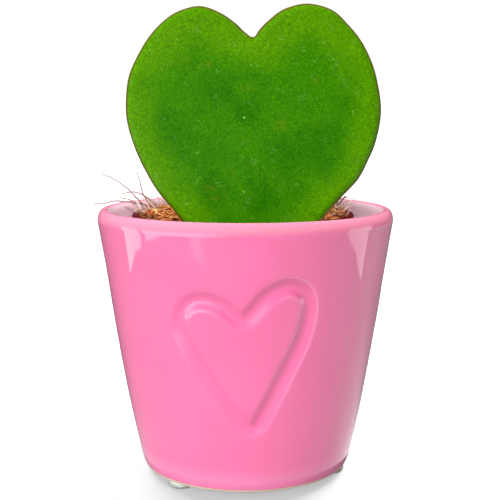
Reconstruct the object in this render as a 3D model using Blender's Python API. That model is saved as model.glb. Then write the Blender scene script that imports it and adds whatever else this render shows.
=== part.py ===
"""A potted sweetheart hoya: one heart-shaped Hoya kerrii leaf rooted in a coir plug, in its thin
nursery pot, dropped into a small glazed ceramic pot with a heart pressed into its front.

Units are metres and +Z is up. The pressed heart faces -Y. The origin is at the middle of the
pot, on the surface that its three rubber bumpers stand on.
"""
import math

import bmesh
import bpy
from mathutils import Vector, noise

MM = 0.001

# Clearance between two pieces that touch.
FIT_GAP = 0.3 * MM

# Ceramic pot, one turned piece. The rim is a soft roll, the wall is a cone that swells a little, and
# below the foot height the wall bends in towards the foot ring, as a curve pulled by the corner.
POT_RIM_RADIUS = 35.0 * MM
POT_RIM_Z = 60.9 * MM
POT_TOP_Z = 63.5 * MM
RIM_CREST_RADIUS = 33.4 * MM
RIM_INNER_LIFT = 0.6 * MM
POT_WALL = 3.1 * MM
POT_WALL_SWELL = 0.45 * MM
POT_FOOT_RADIUS = 26.15 * MM
POT_FOOT_Z = 7.9 * MM
POT_CORNER = (25.05 * MM, 2.3 * MM)
POT_FLOOR_Z = 6.7 * MM
POT_FLOOR_FILLET = 4.0 * MM
POT_SEGMENTS = 96
WALL_ROWS = 4

# Foot ring under the pot, with a shallow recess inside it.
FOOT_RING_Z = 1.9 * MM
FOOT_RING_OUTER = 24.2 * MM
FOOT_RING_INNER = 17.4 * MM
FOOT_RECESS = 1.2 * MM

# Heart pressed into the front wall: a channel of this width and depth, along a hand-drawn outline
# of (distance round the wall from the front, height) in millimetres, clockwise from its notch.
CHANNEL_WIDTH = 4.4 * MM
CHANNEL_DEPTH = 0.9 * MM
HEART_OUTLINE = [
    (-0.3, 42.8), (4.7, 47.8), (9.0, 49.8), (12.6, 48.7), (14.1, 45.0), (12.6, 38.3),
    (8.1, 29.1), (4.2, 21.2), (1.9, 18.0), (-1.1, 19.6), (-8.0, 29.1), (-12.2, 35.8),
    (-14.6, 41.2), (-13.2, 45.2), (-9.5, 46.9), (-5.0, 45.8),
]
STEPS_PER_HEART_POINT = 5
CHANNEL_STEPS = 6

# Clear rubber bumpers, three at even spacing under the foot ring.
BUMPER_RADIUS = 3.1 * MM
BUMPER_HEIGHT = FOOT_RING_Z - FIT_GAP
BUMPER_CHAMFER = 0.35 * MM
BUMPER_CIRCLE_RADIUS = 21.2 * MM
BUMPERS = {"bumper_front_left": -44.6, "bumper_right": 75.4, "bumper_rear_left": 195.4}
BUMPER_SEGMENTS = 32

# Thin plastic nursery pot, standing on the ceramic floor a little to the left of the middle.
NURSERY_OFFSET_X = -0.6 * MM
NURSERY_BASE_Z = POT_FLOOR_Z + FIT_GAP
NURSERY_BASE_RADIUS = 19.0 * MM
NURSERY_TOP_Z = 62.3 * MM
NURSERY_RIM_RADIUS = 26.4 * MM
NURSERY_RIM_HEIGHT = 5.0 * MM
NURSERY_RIM_STEP = 1.1 * MM
NURSERY_STEP_HEIGHT = 0.9 * MM
NURSERY_CORNER = 0.8 * MM
NURSERY_WALL = 0.8 * MM
NURSERY_SEGMENTS = 64
DRAIN_HOLE_RADIUS = 2.5 * MM
DRAIN_HOLE_CIRCLE = 12.0 * MM
DRAIN_HOLES = 4

# Coir plug that fills the nursery pot, with a rough, slightly mounded top. In front of the leaf, from
# the first to the second of the dip's two places along Y, the top has sunk.
COIR_TOP_Z = 61.7 * MM
COIR_TOP_RADIUS = NURSERY_RIM_RADIUS - NURSERY_WALL - FIT_GAP
COIR_EDGE_DROP = 0.8 * MM
COIR_MOUND = 0.3 * MM
COIR_ROUGHNESS = 0.9 * MM
COIR_FRONT_DIP = 1.9 * MM
COIR_DIP_START = -4.0 * MM
COIR_DIP_END = -11.0 * MM
COIR_LUMP_SIZE = 4.5 * MM
COIR_TOP_RINGS = 12
COIR_SEGMENTS = 64
POCKET_MARGIN = 0.45 * MM

# Heart leaf. Each side of its outline is (distance from the middle line, height) in millimetres,
# from the notch over the lobe and down the flank to the end of the stalk.
LEAF_X = 1.8 * MM
LEAF_Y = -9.0 * MM
LEAF_LEAN = 0.04
LEAF_LEVEL = 60.4 * MM
LEAF_THICKNESS = 3.6 * MM
LEAF_CURL = 1.0 * MM
LEAF_HALF_WIDTH = 29.1 * MM
LEAF_CENTRE_Z = 84.4 * MM
LEAF_STALK_END = (1.2, 34.4)
LEAF_RIGHT_SIDE = [
    (4.3, 107.4), (12.2, 110.3), (20.0, 107.1), (26.7, 97.7), (29.2, 86.6), (26.4, 75.1),
    (15.8, 61.4), (6.0, 49.4), (1.7, 42.9),
]
LEAF_LEFT_SIDE = [
    (5.0, 107.0), (12.0, 109.7), (20.2, 106.4), (26.9, 97.5), (29.1, 86.4), (25.9, 74.9),
    (16.4, 61.3), (6.0, 49.4), (1.7, 42.9),
]
LEAF_NOTCH = (0.0, 102.8)
LEAF_STEPS = 4
LEAF_RINGS = (1.0, 0.985, 0.95, 0.86, 0.6, 0.3)
LEAF_EDGE_POWER = 14

# Loose coir strands. Each route starts with its root, a place on the plug's top, and goes on with
# a few points in millimetres.
FIBRE_RADIUS = 0.13 * MM
FIBRE_STEPS = 3
FIBRES = [
    ((-22.6, 7.0), [(-24.6, 4.5, 63.3), (-27.5, 4.0, 66.4), (-31.0, 4.0, 69.4), (-34.3, 4.0, 71.0)]),
    ((-21.6, 1.5), [(-24.6, 2.5, 63.3), (-28.0, 3.5, 64.2), (-31.0, 4.0, 64.7), (-34.5, 4.0, 64.2)]),
    ((-21.8, 9.0), [(-24.4, 8.0, 63.3), (-27.6, 7.5, 64.8), (-30.7, 7.0, 65.6)]),
    ((-20.8, 5.5), [(-23.4, 5.0, 63.8), (-25.1, 4.0, 66.8), (-26.3, 4.0, 71.7)]),
    ((-19.6, 3.5), [(-23.0, 5.0, 64.8), (-26.7, 6.0, 66.6), (-30.7, 6.0, 66.3)]),
    ((-22.4, -3.0), [(-24.8, -4.0, 62.9), (-26.6, -4.0, 63.3), (-28.3, -5.0, 64.4)]),
    ((20.4, 3.0), [(22.4, 5.0, 63.4), (24.4, 6.0, 65.6)]),
    ((19.6, -1.0), [(21.6, 1.0, 63.2), (22.4, 2.0, 65.8)]),
    ((18.4, 8.0), [(21.4, 9.0, 64.0), (25.6, 9.0, 65.2)]),
    ((-4.0, 20.4), [(-6.0, 24.0, 63.3), (-9.0, 28.0, 65.8), (-10.0, 31.0, 69.4)]),
    ((6.0, 19.6), [(9.0, 22.6, 63.6), (14.0, 26.0, 64.8)]),
    ((-12.0, 15.0), [(-16.0, 19.0, 64.3), (-20.0, 21.0, 68.4)]),
]


def clear_scene():
    for thing in list(bpy.data.objects):
        bpy.data.objects.remove(thing, do_unlink=True)


def make_material(name, colour, roughness, transmission=0.0):
    material = bpy.data.materials.new(name)
    material.use_nodes = True
    shader = material.node_tree.nodes["Principled BSDF"]
    shader.inputs["Base Color"].default_value = (*colour, 1.0)
    shader.inputs["Roughness"].default_value = roughness
    shader.inputs["Metallic"].default_value = 0.0
    shader.inputs["Transmission Weight"].default_value = transmission
    return material


def add_object(name, shape, material=None):
    """Turn a finished bmesh into an object at the origin and free the bmesh."""
    mesh = bpy.data.meshes.new(name)
    shape.to_mesh(mesh)
    shape.free()
    mesh.shade_smooth()
    mesh.set_sharp_from_angle(angle=math.radians(40))
    thing = bpy.data.objects.new(name, mesh)
    bpy.context.scene.collection.objects.link(thing)
    if material:
        mesh.materials.append(material)
    return thing


def hide_as_cutter(thing):
    thing.hide_render = True
    thing.display_type = "WIRE"


def cut(thing, cutter, name):
    """Subtract one mesh object from another."""
    hide_as_cutter(cutter)
    modifier = thing.modifiers.new(name, "BOOLEAN")
    modifier.operation = "DIFFERENCE"
    modifier.solver = "EXACT"
    modifier.use_self = True
    modifier.object = cutter


def turn(profile, segments):
    """Solid of revolution about Z. The profile's first and last points lie on the axis."""
    shape = bmesh.new()
    points = [shape.verts.new((radius, 0.0, height)) for radius, height in profile]
    edges = [shape.edges.new(pair) for pair in zip(points, points[1:])]
    bmesh.ops.spin(
        shape, geom=points + edges, cent=(0, 0, 0), axis=(0, 0, 1),
        angle=2 * math.pi, steps=segments, use_merge=True,
    )
    bmesh.ops.remove_doubles(shape, verts=shape.verts, dist=1e-7)
    bmesh.ops.recalc_face_normals(shape, faces=shape.faces)
    return shape


def arc(centre, radii, start, end, steps):
    """Points of an ellipse's arc in the profile plane, angles in degrees from +radius."""
    points = []
    for step in range(steps + 1):
        angle = math.radians(start + (end - start) * step / steps)
        points.append((centre[0] + radii[0] * math.cos(angle), centre[1] + radii[1] * math.sin(angle)))
    return points


def smooth_path(points, steps, closed=False):
    """Catmull-Rom curve through the points, with this many steps from each to the next."""
    points = [Vector(point) for point in points]
    count = len(points)
    if closed:
        control = [points[-1]] + points + points[:2]
        spans = count
    else:
        control = [2 * points[0] - points[1]] + points + [2 * points[-1] - points[-2]]
        spans = count - 1
    path = []
    for span in range(spans):
        before, start, end, after = control[span:span + 4]
        for step in range(steps):
            t = step / steps
            path.append(0.5 * (
                2 * start + (end - before) * t
                + (2 * before - 5 * start + 4 * end - after) * t ** 2
                + (3 * start - before - 3 * end + after) * t ** 3
            ))
    if not closed:
        path.append(points[-1])
    return path


def pot_radius(height):
    """Outside radius of the ceramic wall at a height. The swell is greatest two thirds down."""
    t = (POT_RIM_Z - height) / (POT_RIM_Z - POT_FOOT_Z)
    swell = 27 / 4 * POT_WALL_SWELL * t ** 2 * (1 - t)
    return POT_RIM_RADIUS + (POT_FOOT_RADIUS - POT_RIM_RADIUS) * t + swell


def bend(start, corner, end, steps):
    """Points of the curve that leaves start towards the corner and comes into end from it."""
    points = []
    for step in range(steps + 1):
        t = step / steps
        weights = ((1 - t) ** 2, 2 * t * (1 - t), t ** 2)
        points.append(tuple(
            sum(weight * place[axis] for weight, place in zip(weights, (start, corner, end)))
            for axis in range(2)
        ))
    return points


def pot_profile():
    """The pot's section from the middle of its floor, over the rim and down to its underside."""
    fillet_z = POT_FLOOR_Z + POT_FLOOR_FILLET
    fillet_r = pot_radius(fillet_z) - POT_WALL - POT_FLOOR_FILLET
    inside = [(0.0, POT_FLOOR_Z)]
    inside += arc((fillet_r, fillet_z), (POT_FLOOR_FILLET, POT_FLOOR_FILLET), -90, 0, 4)
    rim_inner_radius = POT_RIM_RADIUS - POT_WALL
    inner_z = POT_RIM_Z + RIM_INNER_LIFT
    for row in range(1, WALL_ROWS):
        height = fillet_z + row / WALL_ROWS * (inner_z - fillet_z)
        inside.append((pot_radius(height) - POT_WALL, height))
    inner_roll = (RIM_CREST_RADIUS - rim_inner_radius, POT_TOP_Z - inner_z)
    outer_roll = (POT_RIM_RADIUS - RIM_CREST_RADIUS, POT_TOP_Z - POT_RIM_Z)
    rim = arc((RIM_CREST_RADIUS, inner_z), inner_roll, 180, 90, 4)
    rim += arc((RIM_CREST_RADIUS, POT_RIM_Z), outer_roll, 90, 0, 5)[1:]
    outside = []
    for row in range(1, 2 * WALL_ROWS + 1):
        height = POT_RIM_Z + row / (2 * WALL_ROWS) * (POT_FOOT_Z - POT_RIM_Z)
        outside.append((pot_radius(height), height))
    foot_top = (POT_FOOT_RADIUS, POT_FOOT_Z)
    foot = bend(foot_top, POT_CORNER, (FOOT_RING_OUTER, FOOT_RING_Z), 6)[1:]
    recess_z = FOOT_RING_Z + FOOT_RECESS
    foot += [(FOOT_RING_INNER, FOOT_RING_Z), (FOOT_RING_INNER - 0.5 * FOOT_RECESS, recess_z)]
    return inside + rim + outside + foot + [(0.0, recess_z)]


def wall_place(distance, height, lift):
    """A place at a distance round the front wall and a height, lifted off the wall's surface."""
    angle = distance / pot_radius(height)
    radius = pot_radius(height) + lift
    return (radius * math.sin(angle), -radius * math.cos(angle), height)


def channel_section():
    """The pressed channel's section as (sideways, lift): an arc below the wall, closed above it."""
    half = CHANNEL_WIDTH / 2
    section = []
    for step in range(CHANNEL_STEPS + 1):
        across = 2 * step / CHANNEL_STEPS - 1
        section.append((across * half, -CHANNEL_DEPTH * (1 - across ** 2)))
    return [(-half, CHANNEL_DEPTH)] + section + [(half, CHANNEL_DEPTH)]


def heart_channel_cutter():
    """A closed bar with the channel's section, swept along the heart and wrapped on the wall."""
    route = [point * MM for point in smooth_path(HEART_OUTLINE, STEPS_PER_HEART_POINT, closed=True)]
    section = channel_section()
    shape = bmesh.new()
    loops = []
    for index, point in enumerate(route):
        along = (route[(index + 1) % len(route)] - route[index - 1]).normalized()
        loops.append([
            shape.verts.new(wall_place(point.x - along.y * side, point.y + along.x * side, lift))
            for side, lift in section
        ])
    for index, loop in enumerate(loops):
        before = loops[index - 1]
        for i in range(len(section)):
            shape.faces.new((before[i - 1], before[i], loop[i], loop[i - 1]))
    bmesh.ops.recalc_face_normals(shape, faces=shape.faces)
    return add_object("heart_channel_cutter", shape)


def make_cachepot():
    glaze = make_material("pink_glaze", (0.86, 0.19, 0.42), 0.12)
    pot = add_object("cachepot", turn(pot_profile(), POT_SEGMENTS), glaze)
    cut(pot, heart_channel_cutter(), "pressed_heart")


def make_bumpers():
    profile = [
        (0.0, BUMPER_HEIGHT), (BUMPER_RADIUS, BUMPER_HEIGHT), (BUMPER_RADIUS, BUMPER_CHAMFER),
        (BUMPER_RADIUS - BUMPER_CHAMFER, 0.0), (0.0, 0.0),
    ]
    for name, degrees in BUMPERS.items():
        rubber = make_material(name + "_rubber", (0.92, 0.93, 0.90), 0.25, transmission=0.6)
        bumper = add_object(name, turn(profile, BUMPER_SEGMENTS), rubber)
        angle = math.radians(degrees)
        bumper.location.x = BUMPER_CIRCLE_RADIUS * math.sin(angle)
        bumper.location.y = -BUMPER_CIRCLE_RADIUS * math.cos(angle)


def nursery_radius(height):
    """Outside radius of the nursery pot's wall below its rim band."""
    top = NURSERY_TOP_Z - NURSERY_RIM_HEIGHT
    t = (height - NURSERY_BASE_Z) / (top - NURSERY_BASE_Z)
    return NURSERY_BASE_RADIUS + (NURSERY_RIM_RADIUS - NURSERY_RIM_STEP - NURSERY_BASE_RADIUS) * t


def nursery_profile():
    floor_z = NURSERY_BASE_Z + NURSERY_WALL
    band_z = NURSERY_TOP_Z - NURSERY_RIM_HEIGHT
    band_inner = NURSERY_RIM_RADIUS - NURSERY_WALL
    rim_middle = (NURSERY_RIM_RADIUS - NURSERY_WALL / 2, NURSERY_TOP_Z - NURSERY_WALL / 2)
    inside = [
        (0.0, floor_z), (nursery_radius(floor_z) - NURSERY_WALL, floor_z),
        (nursery_radius(band_z) - NURSERY_WALL, band_z - NURSERY_WALL), (band_inner, band_z),
    ]
    lip = arc(rim_middle, (NURSERY_WALL / 2, NURSERY_WALL / 2), 180, 0, 4)
    corner_z = NURSERY_BASE_Z + NURSERY_CORNER
    outside = [
        (NURSERY_RIM_RADIUS, band_z), (nursery_radius(band_z), band_z - NURSERY_STEP_HEIGHT),
        (nursery_radius(corner_z), corner_z),
        (NURSERY_BASE_RADIUS - NURSERY_CORNER, NURSERY_BASE_Z), (0.0, NURSERY_BASE_Z),
    ]
    return inside + lip + outside


def drain_hole_cutter(index):
    angle = 2 * math.pi * (index + 0.5) / DRAIN_HOLES
    shape = bmesh.new()
    bmesh.ops.create_cone(
        shape, cap_ends=True, segments=24, radius1=DRAIN_HOLE_RADIUS, radius2=DRAIN_HOLE_RADIUS,
        depth=6 * NURSERY_WALL,
    )
    cutter = add_object("drain_hole_cutter_%d" % index, shape)
    cutter.location = (
        NURSERY_OFFSET_X + DRAIN_HOLE_CIRCLE * math.cos(angle),
        DRAIN_HOLE_CIRCLE * math.sin(angle),
        NURSERY_BASE_Z,
    )
    return cutter


def make_nursery_pot():
    plastic = make_material("maroon_plastic", (0.10, 0.012, 0.012), 0.4)
    pot = add_object("nursery_pot", turn(nursery_profile(), NURSERY_SEGMENTS), plastic)
    pot.location.x = NURSERY_OFFSET_X
    for index in range(DRAIN_HOLES):
        cut(pot, drain_hole_cutter(index), "drain_hole_%d" % index)


def coir_profile():
    """Section of the plug: down the middle of the nursery pot's inside, a little clear of it."""
    bottom_z = NURSERY_BASE_Z + NURSERY_WALL + FIT_GAP
    band_z = NURSERY_TOP_Z - NURSERY_RIM_HEIGHT
    clear = NURSERY_WALL + FIT_GAP
    top = [(COIR_TOP_RADIUS * ring / COIR_TOP_RINGS, COIR_TOP_Z) for ring in range(COIR_TOP_RINGS)]
    side = [
        (COIR_TOP_RADIUS, COIR_TOP_Z - COIR_EDGE_DROP), (COIR_TOP_RADIUS, band_z + 1.5 * FIT_GAP),
        (nursery_radius(band_z) - clear, band_z - NURSERY_WALL),
        (nursery_radius(bottom_z) - clear, bottom_z), (0.0, bottom_z),
    ]
    return top + side


def coir_top(x, y):
    """Height of the plug's top at a place counted from the plug's own middle."""
    fall = (x ** 2 + y ** 2) / COIR_TOP_RADIUS ** 2
    lumps = noise.noise(Vector((x, y, 0.0)) / COIR_LUMP_SIZE)
    sunk = min(max((COIR_DIP_START - y) / (COIR_DIP_START - COIR_DIP_END), 0), 1)
    dip = COIR_FRONT_DIP * sunk ** 2 * (3 - 2 * sunk)
    return COIR_TOP_Z + COIR_MOUND * (1 - fall) + COIR_ROUGHNESS * lumps - dip


def raise_top(shape):
    """Lift the top's points into a low, uneven mound, as matted coir is."""
    for vertex in shape.verts:
        if abs(vertex.co.z - COIR_TOP_Z) < FIT_GAP:
            vertex.co.z = coir_top(vertex.co.x, vertex.co.y)


def make_coir_plug():
    coir = make_material("coir", (0.34, 0.17, 0.07), 0.9)
    shape = turn(coir_profile(), COIR_SEGMENTS)
    raise_top(shape)
    plug = add_object("coir_plug", shape, coir)
    plug.location.x = NURSERY_OFFSET_X
    cut(plug, add_object("leaf_pocket_cutter", leaf_shape(POCKET_MARGIN)), "leaf_pocket")


def leaf_outline(margin):
    """The whole outline of the leaf and stalk, moved outwards by the margin."""
    right = smooth_path([LEAF_NOTCH] + LEAF_RIGHT_SIDE + [LEAF_STALK_END], LEAF_STEPS)
    left = smooth_path([LEAF_NOTCH] + LEAF_LEFT_SIDE + [LEAF_STALK_END], LEAF_STEPS)
    mirrored = [Vector((-point.x, point.y)) for point in reversed(left[1:])]
    outline = [point * MM for point in right + mirrored]
    moved = []
    for index, point in enumerate(outline):
        along = (outline[(index + 1) % len(outline)] - outline[index - 1]).normalized()
        moved.append(point + margin * Vector((-along.y, along.x)))
    return moved


def leaf_point(across, height, forward):
    """A place in the leaf, from its middle line, height and distance in front of its mid plane."""
    curl = LEAF_CURL * (across / LEAF_HALF_WIDTH) ** 2
    depth = LEAF_Y + LEAF_LEAN * (height - LEAF_LEVEL) + curl - forward
    return (LEAF_X + across, depth, height)


def leaf_shape(margin=0.0):
    """Cushion-shaped solid: rings of the outline shrink to the blade's centre on both sides."""
    outline = leaf_outline(margin)
    half_thickness = LEAF_THICKNESS / 2 + margin
    shape = bmesh.new()
    loops = {}
    for side in (1, -1):
        for ring in LEAF_RINGS:
            if ring == 1.0 and side == -1:
                loops[side, ring] = loops[1, 1.0]
                continue
            forward = side * half_thickness * math.sqrt(1 - ring ** LEAF_EDGE_POWER)
            loops[side, ring] = [
                shape.verts.new(leaf_point(
                    ring * point.x, LEAF_CENTRE_Z + ring * (point.y - LEAF_CENTRE_Z), forward,
                ))
                for point in outline
            ]
        rings = [loops[side, ring] for ring in LEAF_RINGS]
        for outer, inner in zip(rings, rings[1:]):
            for i in range(len(outline)):
                shape.faces.new((outer[i - 1], outer[i], inner[i], inner[i - 1]))
        middle = shape.verts.new(leaf_point(0.0, LEAF_CENTRE_Z, side * half_thickness))
        for i in range(len(outline)):
            shape.faces.new((rings[-1][i - 1], rings[-1][i], middle))
    bmesh.ops.recalc_face_normals(shape, faces=shape.faces)
    return shape


def make_leaf():
    skin = make_material("leaf_skin", (0.07, 0.24, 0.01), 0.35)
    add_object("heart_leaf", leaf_shape(), skin)


def fibre_path(root, route):
    """Smooth path from a root that rests on the plug, through the route's points."""
    x, y = root[0] * MM, root[1] * MM
    root_z = coir_top(x - NURSERY_OFFSET_X, y) + FIT_GAP + FIBRE_RADIUS
    places = [Vector((x, y, root_z))] + [Vector(point) * MM for point in route]
    return smooth_path(places, FIBRE_STEPS)


def make_fibres():
    strand = make_material("coir_strand", (0.42, 0.27, 0.17), 0.8)
    for number, (root, route) in enumerate(FIBRES, start=1):
        curve = bpy.data.curves.new("coir_fibre", "CURVE")
        curve.dimensions = "3D"
        curve.bevel_depth = FIBRE_RADIUS
        curve.bevel_resolution = 1
        curve.use_fill_caps = True
        curve.materials.append(strand)
        path = fibre_path(root, route)
        spline = curve.splines.new("POLY")
        spline.points.add(len(path) - 1)
        for point, place in zip(spline.points, path):
            point.co = (*place, 1.0)
        fibre = bpy.data.objects.new("coir_fibre_%02d" % number, curve)
        bpy.context.scene.collection.objects.link(fibre)


clear_scene()
make_cachepot()
make_bumpers()
make_nursery_pot()
make_coir_plug()
make_leaf()
make_fibres()
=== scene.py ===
# %% [markdown]
# # A sweetheart hoya in a pink pot
#
# The object is small enough to sit in a palm: one thick, heart-shaped hoya leaf, rooted in a plug of
# coconut fibre (coir). The plug fills a thin plastic nursery pot, and that stands inside a glazed
# ceramic pot with a heart pressed into its front and three clear rubber bumpers under its foot.
#
# The frame holds the plain solids at their real size. Each piece made here takes the place of one or
# more of them, with a finer surface and a finish of its own, except the fibre mats, which are laid on
# the plug as extra pieces. Everything is in metres, +Z is up and the pressed heart faces -Y.

# %% Load the frame
import math

import bmesh
import bpy
import numpy as np
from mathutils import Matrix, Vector, noise


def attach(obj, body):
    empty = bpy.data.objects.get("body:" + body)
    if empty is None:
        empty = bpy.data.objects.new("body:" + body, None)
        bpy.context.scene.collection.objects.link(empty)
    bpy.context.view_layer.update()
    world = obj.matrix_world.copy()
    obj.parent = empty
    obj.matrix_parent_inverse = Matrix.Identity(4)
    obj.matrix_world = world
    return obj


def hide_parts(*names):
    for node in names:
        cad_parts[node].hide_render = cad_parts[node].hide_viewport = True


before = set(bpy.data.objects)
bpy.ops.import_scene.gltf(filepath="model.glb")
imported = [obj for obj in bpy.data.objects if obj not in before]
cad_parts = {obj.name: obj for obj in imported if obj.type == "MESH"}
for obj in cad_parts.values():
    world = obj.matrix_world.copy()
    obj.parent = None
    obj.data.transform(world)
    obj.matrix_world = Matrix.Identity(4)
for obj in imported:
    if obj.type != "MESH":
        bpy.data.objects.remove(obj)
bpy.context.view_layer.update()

MM = 0.001
BODY = "root"
print("frame holds", len(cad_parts), "pieces")


# %% [markdown]
# ## Small helpers for node trees
#
# Materials and geometry trees are both graphs. Adding a node, setting it up and wiring its inputs is
# always the same three steps, so one function does them. A value that is a socket becomes a link, and
# anything else becomes the socket's own number.

# %% Node helpers
def put(tree, kind, inputs=None, **settings):
    made = tree.nodes.new(kind)
    for name, value in settings.items():
        setattr(made, name, value)
    for key, value in (inputs or {}).items():
        if isinstance(value, bpy.types.NodeSocket):
            tree.links.new(value, made.inputs[key])
        else:
            made.inputs[key].default_value = value
    return made


def calc(tree, operation, *values):
    return put(tree, "ShaderNodeMath", dict(enumerate(values)), operation=operation).outputs[0]


def spread(tree, value, low, high, new_low=0.0, new_high=1.0):
    """Map a value from one range to another with soft ends."""
    made = put(
        tree, "ShaderNodeMapRange",
        {"Value": value, "From Min": low, "From Max": high, "To Min": new_low, "To Max": new_high},
        interpolation_type="SMOOTHSTEP",
    )
    return made.outputs["Result"]


# %% [markdown]
# ## Helpers for finishes
#
# Colours are written as the 0-255 values a screen shows and turned into light values, which is what a
# shader works with. Grain, mottling and dust are noise read at the piece's own Object coordinates, in
# metres, so a scale of 1000 gives patches about a millimetre across.

# %% Finish helpers
def tone(red, green, blue):
    values = [level / 255 for level in (red, green, blue)]
    return tuple(v / 12.92 if v <= 0.04045 else ((v + 0.055) / 1.055) ** 2.4 for v in values)


def new_material(name, **constants):
    """A material whose plain numbers are set on the shader's own sockets."""
    material = bpy.data.materials.new(name)
    material.use_nodes = True
    tree = material.node_tree
    shader = tree.nodes["Principled BSDF"]
    for key, value in constants.items():
        shader.inputs[key.replace("_", " ")].default_value = value
    place = put(tree, "ShaderNodeTexCoord").outputs["Object"]
    return material, tree, shader, place


def grain(tree, place, patches_per_m, detail=3.0, roughness=0.5, distortion=0.0):
    made = put(
        tree, "ShaderNodeTexNoise",
        {"Vector": place, "Scale": patches_per_m, "Detail": detail, "Roughness": roughness,
         "Distortion": distortion},
    )
    return made.outputs["Fac"]


def ramp(tree, factor, stops):
    """A colour ramp from (place, colour) stops."""
    made = put(tree, "ShaderNodeValToRGB", {"Fac": factor})
    elements = made.color_ramp.elements
    elements[0].position, elements[-1].position = stops[0][0], stops[-1][0]
    elements[0].color, elements[-1].color = (*stops[0][1], 1), (*stops[-1][1], 1)
    for where, colour in stops[1:-1]:
        elements.new(where).color = (*colour, 1)
    return made.outputs["Color"]


def mix(tree, factor, first, second, blend_type="MIX"):
    made = put(tree, "ShaderNodeMix", data_type="RGBA", blend_type=blend_type)
    for index, value in ((0, factor), (6, first), (7, second)):
        if isinstance(value, bpy.types.NodeSocket):
            tree.links.new(value, made.inputs[index])
        else:
            made.inputs[index].default_value = value if index == 0 else (*value, 1)
    return made.outputs[2]


def bump(tree, height, depth_mm):
    inputs = {"Height": height, "Distance": depth_mm * MM, "Strength": 1.0}
    return put(tree, "ShaderNodeBump", inputs).outputs["Normal"]


def attribute(tree, name):
    return put(tree, "ShaderNodeAttribute", attribute_name=name).outputs["Fac"]


# %% [markdown]
# ## Helpers for geometry
#
# A geometry tree runs on a small source mesh and its result is copied out as a plain mesh, so the
# finished piece carries no modifier. Curves that a hand would draw are a few points joined by a
# Catmull-Rom curve, and turned shapes are a section that is spun round the Z axis.

# %% Geometry helpers
def add_mesh_object(name, mesh):
    thing = bpy.data.objects.new(name, mesh)
    bpy.context.scene.collection.objects.link(thing)
    return thing


def new_tree(name, sockets):
    """A geometry tree with named inputs, and the sockets that give their values inside it."""
    tree = bpy.data.node_groups.new(name, "GeometryNodeTree")
    tree.interface.new_socket("Geometry", in_out="INPUT", socket_type="NodeSocketGeometry")
    for label, kind in sockets.items():
        tree.interface.new_socket(label, in_out="INPUT", socket_type="NodeSocket" + kind)
    tree.interface.new_socket("Geometry", in_out="OUTPUT", socket_type="NodeSocketGeometry")
    return tree, put(tree, "NodeGroupInput").outputs


def stored(tree, name):
    made = put(tree, "GeometryNodeInputNamedAttribute", {"Name": name}, data_type="FLOAT")
    return made.outputs["Attribute"]


def end_tree(tree, geometry, material):
    """Realize what is instanced, set the material and send it out."""
    solid = put(tree, "GeometryNodeRealizeInstances", {0: geometry}).outputs[0]
    smooth = put(tree, "GeometryNodeSetShadeSmooth", {0: solid}).outputs[0]
    coated = put(tree, "GeometryNodeSetMaterial", {"Geometry": smooth, "Material": material})
    put(tree, "NodeGroupOutput", {0: coated.outputs[0]})


def run_tree(tree, name, source_mesh, values):
    """Run the tree on a mesh and keep the result as a plain mesh object."""
    source = add_mesh_object(name + "_source", source_mesh)
    modifier = source.modifiers.new("tree", "NODES")
    modifier.node_group = tree
    for item in tree.interface.items_tree:
        if item.in_out == "INPUT" and item.name in values:
            modifier[item.identifier] = values[item.name]
    graph = bpy.context.evaluated_depsgraph_get()
    mesh = bpy.data.meshes.new_from_object(source.evaluated_get(graph), depsgraph=graph)
    bpy.data.objects.remove(source, do_unlink=True)
    mesh.name = name
    return add_mesh_object(name, mesh)


def face_out(thing):
    """Turn the faces outwards if the closed mesh came out inside out."""
    shape = bmesh.new()
    shape.from_mesh(thing.data)
    if shape.calc_volume(signed=True) < 0:
        bmesh.ops.reverse_faces(shape, faces=shape.faces)
    open_edges = sum(1 for edge in shape.edges if not edge.is_manifold)
    shape.to_mesh(thing.data)
    shape.free()
    print(thing.name, len(thing.data.loops) - 2 * len(thing.data.polygons), "triangles,",
          open_edges, "open edges")


def part_way(value, start, end):
    """How far a value has come from start to end, from 0 to 1."""
    return min(max((value - start) / (end - start), 0), 1)


def smooth_path(points, steps, closed=False):
    """Catmull-Rom curve through the points, with this many steps from each to the next."""
    points = [Vector(point) for point in points]
    if closed:
        control = [points[-1]] + points + points[:2]
        spans = len(points)
    else:
        control = [2 * points[0] - points[1]] + points + [2 * points[-1] - points[-2]]
        spans = len(points) - 1
    path = []
    for span in range(spans):
        before, start, end, after = control[span:span + 4]
        for step in range(steps):
            t = step / steps
            path.append(0.5 * (
                2 * start + (end - before) * t
                + (2 * before - 5 * start + 4 * end - after) * t ** 2
                + (3 * start - before - 3 * end + after) * t ** 3
            ))
    return path if closed else path + [points[-1]]


def arc(centre, radii, start, end, steps):
    """Points of an ellipse's arc in a section, angles in degrees from +radius."""
    angles = [math.radians(start + (end - start) * step / steps) for step in range(steps + 1)]
    return [(centre[0] + radii[0] * math.cos(a), centre[1] + radii[1] * math.sin(a)) for a in angles]


def bend(start, corner, end, steps):
    """Points of the curve that leaves start towards the corner and comes into end from it."""
    points = []
    for step in range(steps + 1):
        t = step / steps
        weights = ((1 - t) ** 2, 2 * t * (1 - t), t ** 2)
        points.append(tuple(
            sum(weight * place[axis] for weight, place in zip(weights, (start, corner, end)))
            for axis in range(2)
        ))
    return points


def line(start, end, steps):
    """Points after start, up to and with end, on a straight run."""
    return [
        tuple(a + (b - a) * step / steps for a, b in zip(start, end)) for step in range(1, steps + 1)
    ]


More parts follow.
